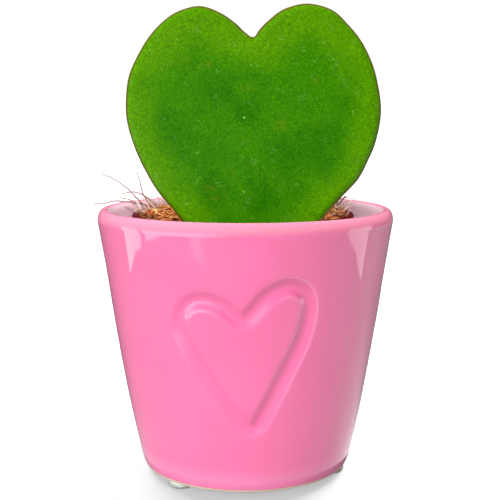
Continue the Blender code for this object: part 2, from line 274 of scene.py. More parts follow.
# %% [markdown]
# ## Camera, floor and light
#
# The pot is seen from a little above its rim with a short telephoto lens, which keeps its sides nearly
# straight. It stands on plain white in a soft, bright studio: a wide key from the left in front, weak
# fills at both sides, two more from behind that reach the inner wall, and a pale room all round.
#
# Glaze is a mirror, and a leaning wall mirrors what stands low beside it, not what hangs above. So a
# broad sheet lies round the pot, brighter in some directions than in others, and three pale boards
# stand round the table. Their slanting lower edges draw the pointed highlights under the rim, and a
# pale patch in front smears the wall. All of these show in mirror images only, so that the matte
# pieces keep the soft light.

# %% Camera
CAMERA_PLACE = (1.06 * MM, -240 * MM, 87.243 * MM)
CAMERA_DOWN = math.radians(8.08)
CAMERA_LENS, CAMERA_SENSOR = 72.72, 36

camera_data = bpy.data.cameras.new("camera")
camera_data.lens = CAMERA_LENS
camera_data.sensor_width = CAMERA_SENSOR
camera_data.clip_start = 5 * MM
camera = bpy.data.objects.new("camera", camera_data)
camera.location = CAMERA_PLACE
camera.rotation_euler = (math.pi / 2 - CAMERA_DOWN, 0, 0)
bpy.context.scene.collection.objects.link(camera)
bpy.context.scene.camera = camera
bpy.context.scene.view_settings.view_transform = "Standard"


# %% Floor and world
FLOOR_HALF = 3.0


def make_floor(name, glow, levels, roughness=0.9):
    """A wide pale sheet on the ground, with a little light of its own."""
    mesh = bpy.data.meshes.new(name)
    corners = [(-1, -1), (1, -1), (1, 1), (-1, 1)]
    mesh.from_pydata([(x * FLOOR_HALF, y * FLOOR_HALF, 0) for x, y in corners], [], [(0, 1, 2, 3)])
    floor = add_mesh_object(name, mesh)
    material, tree, shader, place = new_material(name, Roughness=roughness, Specular_IOR_Level=0.5)
    cloud = grain(tree, place, 3.0)
    dark, light = [(level,) * 3 for level in levels]
    tree.links.new(mix(tree, cloud, dark, light), shader.inputs["Base Color"])
    shader.inputs["Emission Color"].default_value = (1, 1, 1, 1)
    shader.inputs["Emission Strength"].default_value = glow
    mesh.materials.append(material)
    return floor


def make_world(sides, overhead):
    """A pale room: its light at the left and right, and what the ceiling adds to it."""
    world = bpy.data.worlds.new("white_room")
    world.use_nodes = True
    tree = world.node_tree
    room = tree.nodes["Background"]
    towards = put(tree, "ShaderNodeTexCoord").outputs["Generated"]
    towards = put(tree, "ShaderNodeSeparateXYZ", {0: towards}).outputs
    walls = spread(tree, towards["X"], -0.7, 0.9, *sides)
    ceiling = spread(tree, towards["Z"], 0.1, 0.95, 0.0, overhead)
    tree.links.new(calc(tree, "ADD", walls, ceiling), room.inputs["Strength"])
    white = put(tree, "ShaderNodeBackground", {"Color": (1, 1, 1, 1), "Strength": 1.05})
    seen = put(tree, "ShaderNodeLightPath").outputs["Is Camera Ray"]
    both = put(tree, "ShaderNodeMixShader", {0: seen, 1: room.outputs[0], 2: white.outputs[0]})
    tree.links.new(both.outputs[0], tree.nodes["World Output"].inputs["Surface"])
    bpy.context.scene.world = world


# The camera sees the table. It would light the pot too strongly from below, so a duller sheet, which
# the camera doesn't see, takes its place for bounced light and in mirror images.
table = make_floor("pale_table", 0.44, (0.93, 0.96), 0.3)
table.visible_diffuse = table.visible_glossy = False
bounce = make_floor("bounce_sheet", 0.0, (0.42, 0.46))
bounce.visible_camera = bounce.visible_shadow = bounce.visible_transmission = False
make_world((0.5, 0.34), 0.45)


# %% Suns
POT_MIDDLE = (0, 0, 40 * MM)


def add_sun(name, strength, softness, azimuth, height):
    """A far soft light. Azimuth is counted from the front towards the right, in degrees."""
    light = bpy.data.lights.new(name, "SUN")
    light.energy = strength
    light.angle = math.radians(softness)
    lamp = bpy.data.objects.new(name, light)
    a, h = math.radians(azimuth), math.radians(height)
    lamp.location = (math.sin(a) * math.cos(h), -math.cos(a) * math.cos(h), math.sin(h))
    lamp.rotation_euler = (Vector(POT_MIDDLE) - lamp.location).to_track_quat("-Z", "Y").to_euler()
    lamp.visible_glossy = False
    bpy.context.scene.collection.objects.link(lamp)


add_sun("key", 3.5, 60, -18, 30)
add_sun("fill_left", 0.6, 50, -80, 20)
add_sun("fill_right", 0.17, 50, 100, 30)
add_sun("back_right", 3.7, 40, 140, 48)
add_sun("back_left", 2.7, 40, -140, 48)


# %% Sheets that only the glaze mirrors
def add_glow(name, corners, faces, brightness, colour=(1.0, 1.0, 1.0)):
    """A bright sheet that shows only as a mirror image in glossy surfaces, with a brightness for
    each of its corners."""
    mesh = bpy.data.meshes.new(name)
    mesh.from_pydata([tuple(value * MM for value in corner) for corner in corners], [], faces)
    mesh.attributes.new("brightness", "FLOAT", "POINT").data.foreach_set("value", brightness)
    sheet = add_mesh_object(name, mesh)
    material = bpy.data.materials.new(name)
    material.use_nodes = True
    tree = material.node_tree
    glow = put(tree, "ShaderNodeEmission", {
        "Strength": attribute(tree, "brightness"), "Color": (*colour, 1),
    })
    tree.links.new(glow.outputs[0], tree.nodes["Material Output"].inputs["Surface"])
    mesh.materials.append(material)
    sheet.visible_camera = sheet.visible_diffuse = sheet.visible_shadow = False
    sheet.visible_transmission = False


def on_ring(azimuth, reach, height):
    """A corner of a sheet, in millimetres."""
    angle = math.radians(azimuth)
    return (reach * math.sin(angle), -reach * math.cos(angle), height)


# %% Sheet round the pot
# Its rings and low wall in mm, and its brightness by azimuth.
SHEET_REACHES, SHEET_Z, SHEET_WALL = (28, 60, 110, 170), 0.4, 45
MIRRORED = [
    (-180, 0.15), (-150, 0.15), (-130, 0.25), (-112, 0.5), (-80, 0.85), (-40, 0.95), (20, 0.9),
    (40, 1.1), (66, 1.3), (86, 1.4), (112, 1.15), (130, 0.5), (150, 0.25), (180, 0.2),
]


def add_ring_sheet():
    """The sheet round the pot: rings on the ground, the last of them turned up into a low wall."""
    azimuths = list(range(-180, 180, 5))
    levels = np.interp(azimuths, *zip(*MIRRORED))
    rings = [(reach, SHEET_Z) for reach in SHEET_REACHES] + [(SHEET_REACHES[-1], SHEET_WALL)]
    corners = [on_ring(azimuth, reach, height) for reach, height in rings for azimuth in azimuths]
    count = len(azimuths)
    faces = []
    for start in range(0, count * (len(rings) - 1), count):
        for i in range(count):
            a, b = start + i, start + (i + 1) % count
            faces.append((a, b, b + count, a + count))
    add_glow("ring_sheet", corners, faces, list(levels) * len(rings))


add_ring_sheet()


# %% Boards round the table
# Their lower edges, as (azimuth, height in mm, brightness) from left to right. Each board rises from
# its edge to the heights in BOARD_TOPS, where it has that share of its brightness.
BOARD_REACH, BOARD_TOPS = 165, ((45, 1.0), (85, 0.05))
WARM, NEUTRAL = (1.0, 0.93, 0.75), (1.0, 0.94, 0.92)
BOARDS = {
    "board_left": (WARM, [
        (-97.9, 1.8, 4.4), (-96.8, 1.8, 4.4), (-92.2, 4.3, 4.4), (-87.7, 7.0, 4.4), (-80.0, 6.6, 4.4),
    ]),
    "board_front_left": (WARM, [
        (-75.5, 8.0, 4.9), (-64.6, 4.6, 4.9), (-53.8, 2.2, 4.9), (-42.1, 0.5, 4.9), (-31.1, 0.5, 4.5),
        (-19.3, 0.5, 2.7), (-10.0, 0.5, 1.2),
    ]),
    "board_right": (NEUTRAL, [
        (76.5, 8.6, 3.2), (81.0, 6.6, 3.4), (88.2, 7.0, 3.4), (92.6, 4.3, 3.4), (99.0, 0.5, 3.4),
        (100.2, 1.0, 3.4),
    ]),
}


def strips(count, rows):
    """Faces of a sheet whose corners are listed row by row, count in each."""
    return [
        (a, a + 1, a + 1 + count, a + count)
        for row in range(rows) for a in range(row * count, row * count + count - 1)
    ]


def add_boards():
    for name, (colour, edge) in BOARDS.items():
        corners = [on_ring(azimuth, BOARD_REACH, height) for azimuth, height, level in edge]
        levels = [level for azimuth, height, level in edge]
        brightness = list(levels)
        for height, share in BOARD_TOPS:
            corners += [on_ring(azimuth, BOARD_REACH, height) for azimuth, low, level in edge]
            brightness += [level * share for level in levels]
        add_glow(name, corners, strips(len(edge), len(BOARD_TOPS)), brightness, colour)


add_boards()


# %% Pale patch of the sheet in front
# Its places are given as (azimuth, reach in mm), round its middle.
PATCH_MIDDLE, PATCH_Z, PATCH_GLOW, PATCH_EDGE_GLOW = (-33, 155), 0.6, 3.4, 0.95
PATCH_EDGE = [(-41, 164), (-33, 160), (-27, 154), (-23, 147), (-31, 147), (-38, 154), (-43, 161)]


def add_patch():
    """A soft pale patch, which shows as a faint smear on the wall above the heart."""
    corners = [on_ring(*place, PATCH_Z) for place in [PATCH_MIDDLE] + PATCH_EDGE]
    count = len(PATCH_EDGE)
    faces = [(0, 1 + i, 1 + (i + 1) % count) for i in range(count)]
    add_glow("pale_patch", corners, faces, [PATCH_GLOW] + [PATCH_EDGE_GLOW] * count, NEUTRAL)


add_patch()


# %% [markdown]
# ## The ceramic pot
#
# The real pot is cast and then finished on a wheel: a wall that leans out by about ten degrees and
# swells a little, a soft rolled rim, and a foot that tucks in to a bare ring of clay. The heart is
# pressed into the soft wall before glazing, so its edges are round and the glaze pools in it.
#
# A spun section gives the pot, but the heart would have to be cut out of it. Geometry Nodes can do
# both at once. A flat grid is rolled up: its columns become angles, closer together at the front where
# the heart is, and its rows are the section's points. Each point of the wall is then pushed in
# according to how near it lies to a flat drawing of the heart.

# %% Sizes of the ceramic pot
POT_RIM_RADIUS, POT_RIM_Z = 35.0 * MM, 60.9 * MM
POT_TOP_Z, RIM_CREST_RADIUS, RIM_INNER_LIFT = 63.5 * MM, 33.4 * MM, 0.6 * MM
POT_WALL, POT_WALL_SWELL = 3.1 * MM, 0.45 * MM
POT_FOOT_RADIUS, POT_FOOT_Z = 26.15 * MM, 7.9 * MM
POT_CORNER = (25.05 * MM, 2.3 * MM)
POT_FLOOR_Z, POT_FLOOR_FILLET = 6.7 * MM, 4.0 * MM
FOOT_RING_Z, FOOT_RING_OUTER, FOOT_RING_INNER = 1.9 * MM, 24.2 * MM, 17.4 * MM
FOOT_RECESS = 1.2 * MM
GLAZE_END_Z, LIP_BAND = 2.65 * MM, 0.2 * MM

HEART_OUTLINE = [
    (-0.3, 42.8), (4.7, 47.8), (9.0, 49.8), (12.6, 48.7), (14.1, 45.0), (12.6, 38.3),
    (8.1, 29.1), (4.2, 21.2), (1.9, 18.0), (-1.1, 19.6), (-8.0, 29.1), (-12.2, 35.8),
    (-14.6, 41.2), (-13.2, 45.2), (-9.5, 46.9), (-5.0, 45.8),
]
CHANNEL_HALF_WIDTH, CHANNEL_FLAT, CHANNEL_DEPTH = 2.6 * MM, 0.2 * MM, 0.78 * MM


def pot_radius(height):
    """Outside radius of the wall at a height. The swell is greatest two thirds down."""
    t = (POT_RIM_Z - height) / (POT_RIM_Z - POT_FOOT_Z)
    swell = 27 / 4 * POT_WALL_SWELL * t ** 2 * (1 - t)
    return POT_RIM_RADIUS + (POT_FOOT_RADIUS - POT_RIM_RADIUS) * t + swell


def pot_section():
    """Section points from the middle of the floor to the middle of the underside, and which of
    them lie on the outer wall."""
    fillet_z = POT_FLOOR_Z + POT_FLOOR_FILLET
    fillet_r = pot_radius(fillet_z) - POT_WALL - POT_FLOOR_FILLET
    inner_z = POT_RIM_Z + RIM_INNER_LIFT
    inner_roll = (RIM_CREST_RADIUS - POT_RIM_RADIUS + POT_WALL, POT_TOP_Z - inner_z)
    outer_roll = (POT_RIM_RADIUS - RIM_CREST_RADIUS, POT_TOP_Z - POT_RIM_Z)
    inside = [(0.0, POT_FLOOR_Z)] + line((0.0, POT_FLOOR_Z), (fillet_r, POT_FLOOR_Z), 4)[:-1]
    inside += arc((fillet_r, fillet_z), (POT_FLOOR_FILLET, POT_FLOOR_FILLET), -90, 0, 6)
    inner_rows = 14
    for row in range(1, inner_rows):
        height = fillet_z + row / inner_rows * (inner_z - fillet_z)
        inside.append((pot_radius(height) - POT_WALL, height))
    rim = arc((RIM_CREST_RADIUS, inner_z), inner_roll, 180, 90, 9)
    rim += arc((RIM_CREST_RADIUS, POT_RIM_Z), outer_roll, 90, 0, 12)[1:]
    outer_rows = 132
    heights = [POT_RIM_Z + row / outer_rows * (POT_FOOT_Z - POT_RIM_Z) for row in range(1, outer_rows)]
    wall = [(pot_radius(height), height) for height in heights]
    foot = bend((POT_FOOT_RADIUS, POT_FOOT_Z), POT_CORNER, (FOOT_RING_OUTER, FOOT_RING_Z), 14)
    recess = (FOOT_RING_INNER - 0.5 * FOOT_RECESS, FOOT_RING_Z + FOOT_RECESS)
    foot += line(foot[-1], (FOOT_RING_INNER, FOOT_RING_Z), 3) + [recess]
    foot += line(recess, (0.0, recess[1]), 4)
    points = inside + rim + wall + foot
    first = len(inside) + len(rim)
    return points, [1.0 if first <= index < first + len(wall) else 0.0 for index in range(len(points))]


def section_mesh(points, pressable):
    """The section as a chain of edges. Pressable says how far each point follows a pressed mark,
    and the points before the crest are marked as the inside, from just under the crest down."""
    mesh = bpy.data.meshes.new("section")
    edges = [(index, index + 1) for index in range(len(points) - 1)]
    mesh.from_pydata([(radius, 0, height) for radius, height in points], edges, [])
    mesh.attributes.new("pressable", "FLOAT", "POINT").data.foreach_set("value", pressable)
    crest = max(range(len(points)), key=lambda index: points[index][1])
    top = points[crest][1] - LIP_BAND
    inside = [
        part_way(height, top, top - LIP_BAND) if index < crest else 0.0
        for index, (radius, height) in enumerate(points)
    ]
    mesh.attributes.new("inside", "FLOAT", "POINT").data.foreach_set("value", inside)
    return mesh


# %% The tree that rolls a grid into a turned piece
def pressed_depth(tree, given, angle, point):
    """How deep the mark is pressed at a place of the wall, by its distance to the flat drawing."""
    drawing = put(tree, "GeometryNodeObjectInfo", {"Object": given["Mark"]}).outputs["Geometry"]
    unrolled = put(tree, "ShaderNodeCombineXYZ", {
        "X": calc(tree, "MULTIPLY", angle, point["X"]), "Y": point["Z"],
    }).outputs[0]
    near = put(tree, "GeometryNodeProximity", {0: drawing}, target_element="EDGES")
    tree.links.new(unrolled, near.inputs["Sample Position"])
    return put(tree, "ShaderNodeMapRange", {
        "Value": near.outputs["Distance"], "From Min": given["Mark Flat"],
        "From Max": given["Mark Half Width"], "To Min": given["Mark Depth"], "To Max": 0.0,
    }, interpolation_type="SMOOTHSTEP").outputs["Result"]


def wobbled(tree, given, angle, point):
    """The slight unevenness that a hand leaves, which fades towards the axis."""
    around = put(tree, "ShaderNodeCombineXYZ", {
        "X": calc(tree, "SINE", angle), "Y": calc(tree, "COSINE", angle),
        "Z": calc(tree, "MULTIPLY", point["Z"], 40.0),
    }).outputs[0]
    uneven = put(tree, "ShaderNodeTexNoise", {"Vector": around, "Scale": 1.6, "Detail": 1.0})
    wobble = calc(tree, "MULTIPLY", calc(tree, "SUBTRACT", uneven.outputs["Fac"], 0.5), given["Wobble"])
    off_axis = calc(tree, "MINIMUM", calc(tree, "MULTIPLY", point["X"], 100.0), 1.0)
    return calc(tree, "MULTIPLY", wobble, off_axis)


def turned_tree():
    tree, given = new_tree("turned_piece", {
        "Columns": "Int", "Front Bias": "Float", "Mark": "Object", "Mark Half Width": "Float",
        "Mark Flat": "Float", "Mark Depth": "Float", "Wobble": "Float", "Material": "Material",
    })
    section = given["Geometry"]
    rows = put(tree, "GeometryNodeAttributeDomainSize", {0: section}).outputs["Point Count"]
    last_row = calc(tree, "SUBTRACT", rows, 1.0)
    grid = put(tree, "GeometryNodeMeshGrid", {
        "Size X": 1.0, "Size Y": 1.0, "Vertices Y": rows,
        "Vertices X": calc(tree, "ADD", given["Columns"], 1.0),
    }).outputs["Mesh"]
    position = put(tree, "GeometryNodeInputPosition").outputs[0]
    flat = put(tree, "ShaderNodeSeparateXYZ", {0: position}).outputs
    row = calc(tree, "ROUND", calc(tree, "MULTIPLY", calc(tree, "ADD", flat["Y"], 0.5), last_row))

    def from_section(kind, value):
        picked = put(tree, "GeometryNodeSampleIndex", data_type=kind, domain="POINT")
        tree.links.new(section, picked.inputs["Geometry"])
        tree.links.new(value, picked.inputs["Value"])
        tree.links.new(row, picked.inputs["Index"])
        return picked.outputs["Value"]

    point = put(tree, "ShaderNodeSeparateXYZ", {0: from_section("FLOAT_VECTOR", position)}).outputs
    pressable = from_section("FLOAT", stored(tree, "pressable"))
    inside = from_section("FLOAT", stored(tree, "inside"))
    turn = calc(tree, "MULTIPLY", flat["X"], 2 * math.pi)
    crowding = calc(tree, "MULTIPLY", calc(tree, "SINE", turn), given["Front Bias"])
    angle = calc(tree, "SUBTRACT", turn, crowding)
    press = calc(tree, "MULTIPLY", pressed_depth(tree, given, angle, point), pressable)
    radius = calc(tree, "SUBTRACT", point["X"], press)
    radius = calc(tree, "ADD", radius, wobbled(tree, given, angle, point))
    place = put(tree, "ShaderNodeCombineXYZ", {
        "X": calc(tree, "MULTIPLY", radius, calc(tree, "SINE", angle)),
        "Y": calc(tree, "MULTIPLY", calc(tree, "MULTIPLY", radius, calc(tree, "COSINE", angle)), -1.0),
        "Z": point["Z"],
    }).outputs[0]
    kept = put(tree, "GeometryNodeStoreNamedAttribute", {
        "Geometry": grid, "Name": "pressed", "Value": calc(tree, "DIVIDE", press, MM),
    }, data_type="FLOAT", domain="POINT").outputs["Geometry"]
    kept = put(tree, "GeometryNodeStoreNamedAttribute", {
        "Geometry": kept, "Name": "inside", "Value": inside,
    }, data_type="FLOAT", domain="POINT").outputs["Geometry"]
    rolled = put(tree, "GeometryNodeSetPosition", {"Geometry": kept, "Position": place}).outputs[0]
    closed = put(tree, "GeometryNodeMergeByDistance", {"Geometry": rolled, "Distance": 1e-6}).outputs[0]
    end_tree(tree, closed, given["Material"])
    return tree


TURNED = turned_tree()


# %% [markdown]
# ### The glaze
#
# The glaze is an even bubblegum pink, glossy as glass. It is paler where it thins over the rim and the
# brow of the pressed heart, deeper where it pools in the heart, and palest inside. The brow's pale
# line is partly a painted highlight, stronger towards the right, the heel is painted paler as painted
# light against the shade where the wall turns under, and the pale inside is painted light on the inner
# wall. The glaze stops just above the foot, where a fine bare line of cream clay shows. One material
# holds both: the height decides where the glaze ends, with a slightly uneven line, and the clay is matte.

# %% Glaze and bare clay
GLAZE_THINS, HEEL_PAINTED_LIGHT = (60.4 * MM, 62.2 * MM), (8.5 * MM, 4.0 * MM)
BROW_HIGHLIGHT_ACROSS = (2 * MM, 13 * MM)


def glaze_material():
    material, tree, shader, place = new_material(
        "pink_glaze", IOR=1.5, Coat_Weight=0.1, Coat_Roughness=0.04,
    )
    spot = put(tree, "ShaderNodeSeparateXYZ", {0: place}).outputs
    height = spot["Z"]
    cloud = grain(tree, place, 60.0, 3.0)
    pink = ramp(tree, cloud, [(0.3, tone(252, 117, 171)), (0.7, tone(253, 123, 176))])
    pressed = attribute(tree, "pressed")
    pink = mix(tree, calc(tree, "MULTIPLY", pressed, 0.25), pink, tone(240, 98, 158))
    # The heart's pale brow: glaze thinning over the edge, plus a painted highlight that grows to the
    # right.
    brow_and_highlight_end = spread(tree, pressed, 0.07, 0.28, 1.0, 0.0)
    brow_and_painted_highlight = calc(tree, "MULTIPLY", spread(tree, pressed, 0.0, 0.07), brow_and_highlight_end)
    brow_and_painted_highlight = calc(tree, "MULTIPLY", brow_and_painted_highlight, spread(tree, spot["X"], *BROW_HIGHLIGHT_ACROSS, 0.05, 0.42))
    pink = mix(tree, brow_and_painted_highlight, pink, tone(255, 172, 208))
    thin = spread(tree, height, *GLAZE_THINS, 0.0, 0.85)
    pink = mix(tree, thin, pink, tone(255, 156, 182))
    # Painted light: the inside is painted nearly white, for the light on the inner wall.
    pink = mix(tree, calc(tree, "MULTIPLY", attribute(tree, "inside"), 0.95), pink, tone(255, 214, 232))
    # Painted light: the heel is painted paler, against the shade where the wall turns under.
    heel_painted_light = spread(tree, height, *HEEL_PAINTED_LIGHT, 0.0, 0.6)
    pink = mix(tree, heel_painted_light, pink, tone(255, 150, 196))
    fleck = spread(tree, grain(tree, place, 700.0, 1.0), 0.78, 0.82, 0.0, 0.12)
    pink = mix(tree, fleck, pink, tone(255, 205, 222))
    sand = grain(tree, place, 1500.0, 4.0)
    clay = ramp(tree, sand, [(0.3, tone(232, 205, 178)), (0.7, tone(250, 232, 212))])
    edge = calc(tree, "ADD", height, calc(tree, "MULTIPLY", grain(tree, place, 250.0, 2.0), 0.25 * MM))
    glazed = spread(tree, edge, GLAZE_END_Z, GLAZE_END_Z + 0.12 * MM)
    pooled_edge = spread(tree, edge, GLAZE_END_Z, GLAZE_END_Z + 0.35 * MM, 0.7, 0.0)
    pink = mix(tree, pooled_edge, pink, tone(205, 72, 110))
    tree.links.new(mix(tree, glazed, clay, pink), shader.inputs["Base Color"])
    rough = calc(tree, "MULTIPLY_ADD", glazed, -0.58, 0.62)
    rough = calc(tree, "MULTIPLY_ADD", grain(tree, place, 40.0), 0.02, rough)
    rough = calc(tree, "MULTIPLY_ADD", pressed, 0.19, rough)
    tree.links.new(rough, shader.inputs["Roughness"])
    peel = calc(tree, "MULTIPLY", grain(tree, place, 260.0, 2.0), 0.12)
    grit = calc(tree, "MULTIPLY", grain(tree, place, 4000.0, 3.0), calc(tree, "SUBTRACT", 1.0, glazed))
    tree.links.new(bump(tree, calc(tree, "ADD", peel, grit), 0.05), shader.inputs["Normal"])
    return material


# %% Make the ceramic pot
def heart_drawing():
    """The heart as a flat loop of edges: distance round the wall along X, height along Y."""
    route = [point * MM for point in smooth_path(HEART_OUTLINE, 12, closed=True)]
    mesh = bpy.data.meshes.new("heart_drawing")
    count = len(route)
    mesh.from_pydata([(p.x, p.y, 0) for p in route], [(i, (i + 1) % count) for i in range(count)], [])
    return add_mesh_object("heart_drawing", mesh)


def make_cachepot():
    drawing = heart_drawing()
    pot = run_tree(TURNED, "ceramic_pot", section_mesh(*pot_section()), {
        "Columns": 432, "Front Bias": 0.6, "Mark": drawing, "Mark Half Width": CHANNEL_HALF_WIDTH,
        "Mark Flat": CHANNEL_FLAT, "Mark Depth": CHANNEL_DEPTH, "Wobble": 0.25 * MM,
        "Material": glaze_material(),
    })
    bpy.data.objects.remove(drawing, do_unlink=True)
    face_out(pot)
    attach(pot, BODY)
    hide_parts("cachepot")


make_cachepot()


# %% [markdown]
# ## The rubber bumpers
#
# Three soft, clear, self-stick domes keep the bare clay off the table. They are moulded round, with a
# flat top under the foot ring and a rounded lower edge. The same turning tree makes them from a
# section of their own, and each is then moved to its place under the ring in its mesh.

# %% Clear rubber
BUMPER_RADIUS, BUMPER_ROUND, BUMPER_BEVEL = 3.1 * MM, 1.1 * MM, 0.15 * MM
BUMPER_CIRCLE_RADIUS = 21.2 * MM
BUMPERS = {"bumper_front_left": -44.6, "bumper_right": 75.4, "bumper_rear_left": 195.4}
TOUCH_GAP = 0.02 * MM


def rubber_material():
    material, tree, shader, place = new_material("clear_rubber", IOR=1.47, Transmission_Weight=0.6)
    haze = grain(tree, place, 900.0, 3.0)
    clear = ramp(tree, haze, [(0.3, tone(236, 244, 232)), (0.7, tone(248, 251, 244))])
    tree.links.new(clear, shader.inputs["Base Color"])
    tree.links.new(calc(tree, "MULTIPLY_ADD", haze, 0.15, 0.12), shader.inputs["Roughness"])
    tree.links.new(bump(tree, grain(tree, place, 1400.0, 2.0), 0.03), shader.inputs["Normal"])
    return material


def move_mesh(thing, x, y):
    for vertex in thing.data.vertices:
        vertex.co += Vector((x, y, 0.0))


def make_bumpers():
    top = FOOT_RING_Z - TOUCH_GAP
    round_middle = (BUMPER_RADIUS - BUMPER_ROUND, BUMPER_ROUND)
    section = [(0.0, top)] + line((0.0, top), (BUMPER_RADIUS - BUMPER_BEVEL, top), 4)
    section += [(BUMPER_RADIUS, top - BUMPER_BEVEL)]
    section += arc(round_middle, (BUMPER_ROUND, BUMPER_ROUND), 0, -90, 8)
    section += line(section[-1], (0.0, 0.0), 3)
    rubber = rubber_material()
    for node, degrees in BUMPERS.items():
        bumper = run_tree(TURNED, node + "_dome", section_mesh(section, [0.0] * len(section)), {
            "Columns": 64, "Wobble": 0.0, "Material": rubber,
        })
        angle = math.radians(degrees)
        move_mesh(bumper, BUMPER_CIRCLE_RADIUS * math.sin(angle), -BUMPER_CIRCLE_RADIUS * math.cos(angle))
        face_out(bumper)
        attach(bumper, BODY)
        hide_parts(node)


make_bumpers()


# %% [markdown]
# ## The nursery pot
#
# Young hoyas are rooted in thin, vacuum-formed plastic pots. Only the rim shows here: a dark maroon
# band with a rounded lip. It is a turned piece like the others, from its own section, and four drain
# holes are cut through its floor with Booleans, whose result is copied out as a plain mesh.

# %% Sizes of the nursery pot
NURSERY_X = -0.6 * MM
NURSERY_BASE_Z, NURSERY_BASE_RADIUS = 7.0 * MM, 19.0 * MM
NURSERY_TOP_Z, NURSERY_RIM_RADIUS = 62.3 * MM, 26.4 * MM
NURSERY_RIM_HEIGHT, NURSERY_RIM_STEP, NURSERY_STEP_HEIGHT = 5.0 * MM, 1.1 * MM, 0.9 * MM
NURSERY_CORNER, NURSERY_WALL, NURSERY_BEAD = 0.8 * MM, 0.8 * MM, 0.75 * MM
DRAIN_HOLE_RADIUS, DRAIN_HOLE_CIRCLE, DRAIN_HOLES = 2.5 * MM, 12.0 * MM, 4


def nursery_radius(height):
    """Outside radius of the wall below the rim band."""
    top = NURSERY_TOP_Z - NURSERY_RIM_HEIGHT
    t = (height - NURSERY_BASE_Z) / (top - NURSERY_BASE_Z)
    return NURSERY_BASE_RADIUS + (NURSERY_RIM_RADIUS - NURSERY_RIM_STEP - NURSERY_BASE_RADIUS) * t


def nursery_section():
    floor_z = NURSERY_BASE_Z + NURSERY_WALL
    band_z = NURSERY_TOP_Z - NURSERY_RIM_HEIGHT
    lip_middle = (NURSERY_RIM_RADIUS - NURSERY_BEAD, NURSERY_TOP_Z - NURSERY_BEAD)
    floor_edge = (nursery_radius(floor_z) - NURSERY_WALL, floor_z)
    shoulder = (nursery_radius(band_z) - NURSERY_WALL, band_z - NURSERY_WALL)
    points = [(0.0, floor_z)] + line((0.0, floor_z), floor_edge, 4)
    points += line(floor_edge, shoulder, 16)
    points += line(shoulder, (NURSERY_RIM_RADIUS - NURSERY_WALL, band_z), 3)
    lip = arc(lip_middle, (NURSERY_BEAD, NURSERY_BEAD), 205, 0, 10)
    points += line(points[-1], lip[0], 4) + lip[1:]
    points += line(lip[-1], (NURSERY_RIM_RADIUS, band_z), 5)
    corner_z = NURSERY_BASE_Z + NURSERY_CORNER
    step_foot = (nursery_radius(band_z), band_z - NURSERY_STEP_HEIGHT)
    points += line(points[-1], step_foot, 3)
    points += line(step_foot, (nursery_radius(corner_z), corner_z), 16)
    foot = (NURSERY_BASE_RADIUS - NURSERY_CORNER, NURSERY_BASE_Z)
    points += bend(points[-1], (NURSERY_BASE_RADIUS, NURSERY_BASE_Z), foot, 5)[1:]
    return points + line(foot, (0.0, NURSERY_BASE_Z), 4)


# %% Maroon plastic
def maroon_material():
    material, tree, shader, place = new_material("maroon_plastic", IOR=1.49, Specular_IOR_Level=0.04)
    cloud = grain(tree, place, 220.0, 4.0, 0.6)
    maroon = ramp(tree, cloud, [(0.3, tone(66, 4, 10)), (0.7, tone(92, 10, 18))])
    dust = spread(tree, grain(tree, place, 2600.0, 4.0, 0.7), 0.6, 0.78, 0.0, 0.35)
    tree.links.new(mix(tree, dust, maroon, tone(116, 44, 38)), shader.inputs["Base Color"])
    tree.links.new(calc(tree, "MULTIPLY_ADD", cloud, 0.25, 0.28), shader.inputs["Roughness"])
    tree.links.new(bump(tree, grain(tree, place, 700.0, 2.0), 0.05), shader.inputs["Normal"])
    return material


# %% Make the nursery pot
def cut_with(thing, cutters):
    """Cut the thing with each cutter and keep the result as its plain mesh."""
    shape = bmesh.new()
    shape.from_mesh(thing.data)
    bmesh.ops.triangulate(shape, faces=shape.faces)
    shape.to_mesh(thing.data)
    shape.free()
    for cutter in cutters:
        modifier = thing.modifiers.new("cut", "BOOLEAN")
        modifier.operation, modifier.solver, modifier.object = "DIFFERENCE", "EXACT", cutter
    graph = bpy.context.evaluated_depsgraph_get()
    mesh = bpy.data.meshes.new_from_object(thing.evaluated_get(graph), depsgraph=graph)
    thing.modifiers.clear()
    shape = bmesh.new()
    shape.from_mesh(mesh)
    bmesh.ops.remove_doubles(shape, verts=shape.verts, dist=1e-6)
    bmesh.ops.dissolve_degenerate(shape, edges=shape.edges, dist=1e-6)
    bmesh.ops.holes_fill(shape, edges=[edge for edge in shape.edges if edge.is_boundary], sides=6)
    shape.to_mesh(mesh)
    shape.free()
    thing.data = mesh
    for cutter in cutters:
        bpy.data.objects.remove(cutter, do_unlink=True)


def drain_hole_cutter(index):
    angle = 2 * math.pi * (index + 0.5) / DRAIN_HOLES
    mesh = bpy.data.meshes.new("drain_hole")
    shape = bmesh.new()
    bmesh.ops.create_cone(
        shape, cap_ends=True, segments=48, radius1=DRAIN_HOLE_RADIUS, radius2=DRAIN_HOLE_RADIUS,
        depth=6 * NURSERY_WALL,
    )
    shape.to_mesh(mesh)
    shape.free()
    cutter = add_mesh_object("drain_hole_%d" % index, mesh)
    cutter.location = (
        NURSERY_X + DRAIN_HOLE_CIRCLE * math.cos(angle), DRAIN_HOLE_CIRCLE * math.sin(angle),
        NURSERY_BASE_Z,
    )
    return cutter


def make_nursery_pot():
    section = nursery_section()
    pot = run_tree(TURNED, "maroon_nursery_pot", section_mesh(section, [0.0] * len(section)), {
        "Columns": 192, "Wobble": 0.1 * MM, "Material": maroon_material(),
    })
    move_mesh(pot, NURSERY_X, 0.0)
    cut_with(pot, [drain_hole_cutter(index) for index in range(DRAIN_HOLES)])
    face_out(pot)
    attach(pot, BODY)
    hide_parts("nursery_pot")


make_nursery_pot()
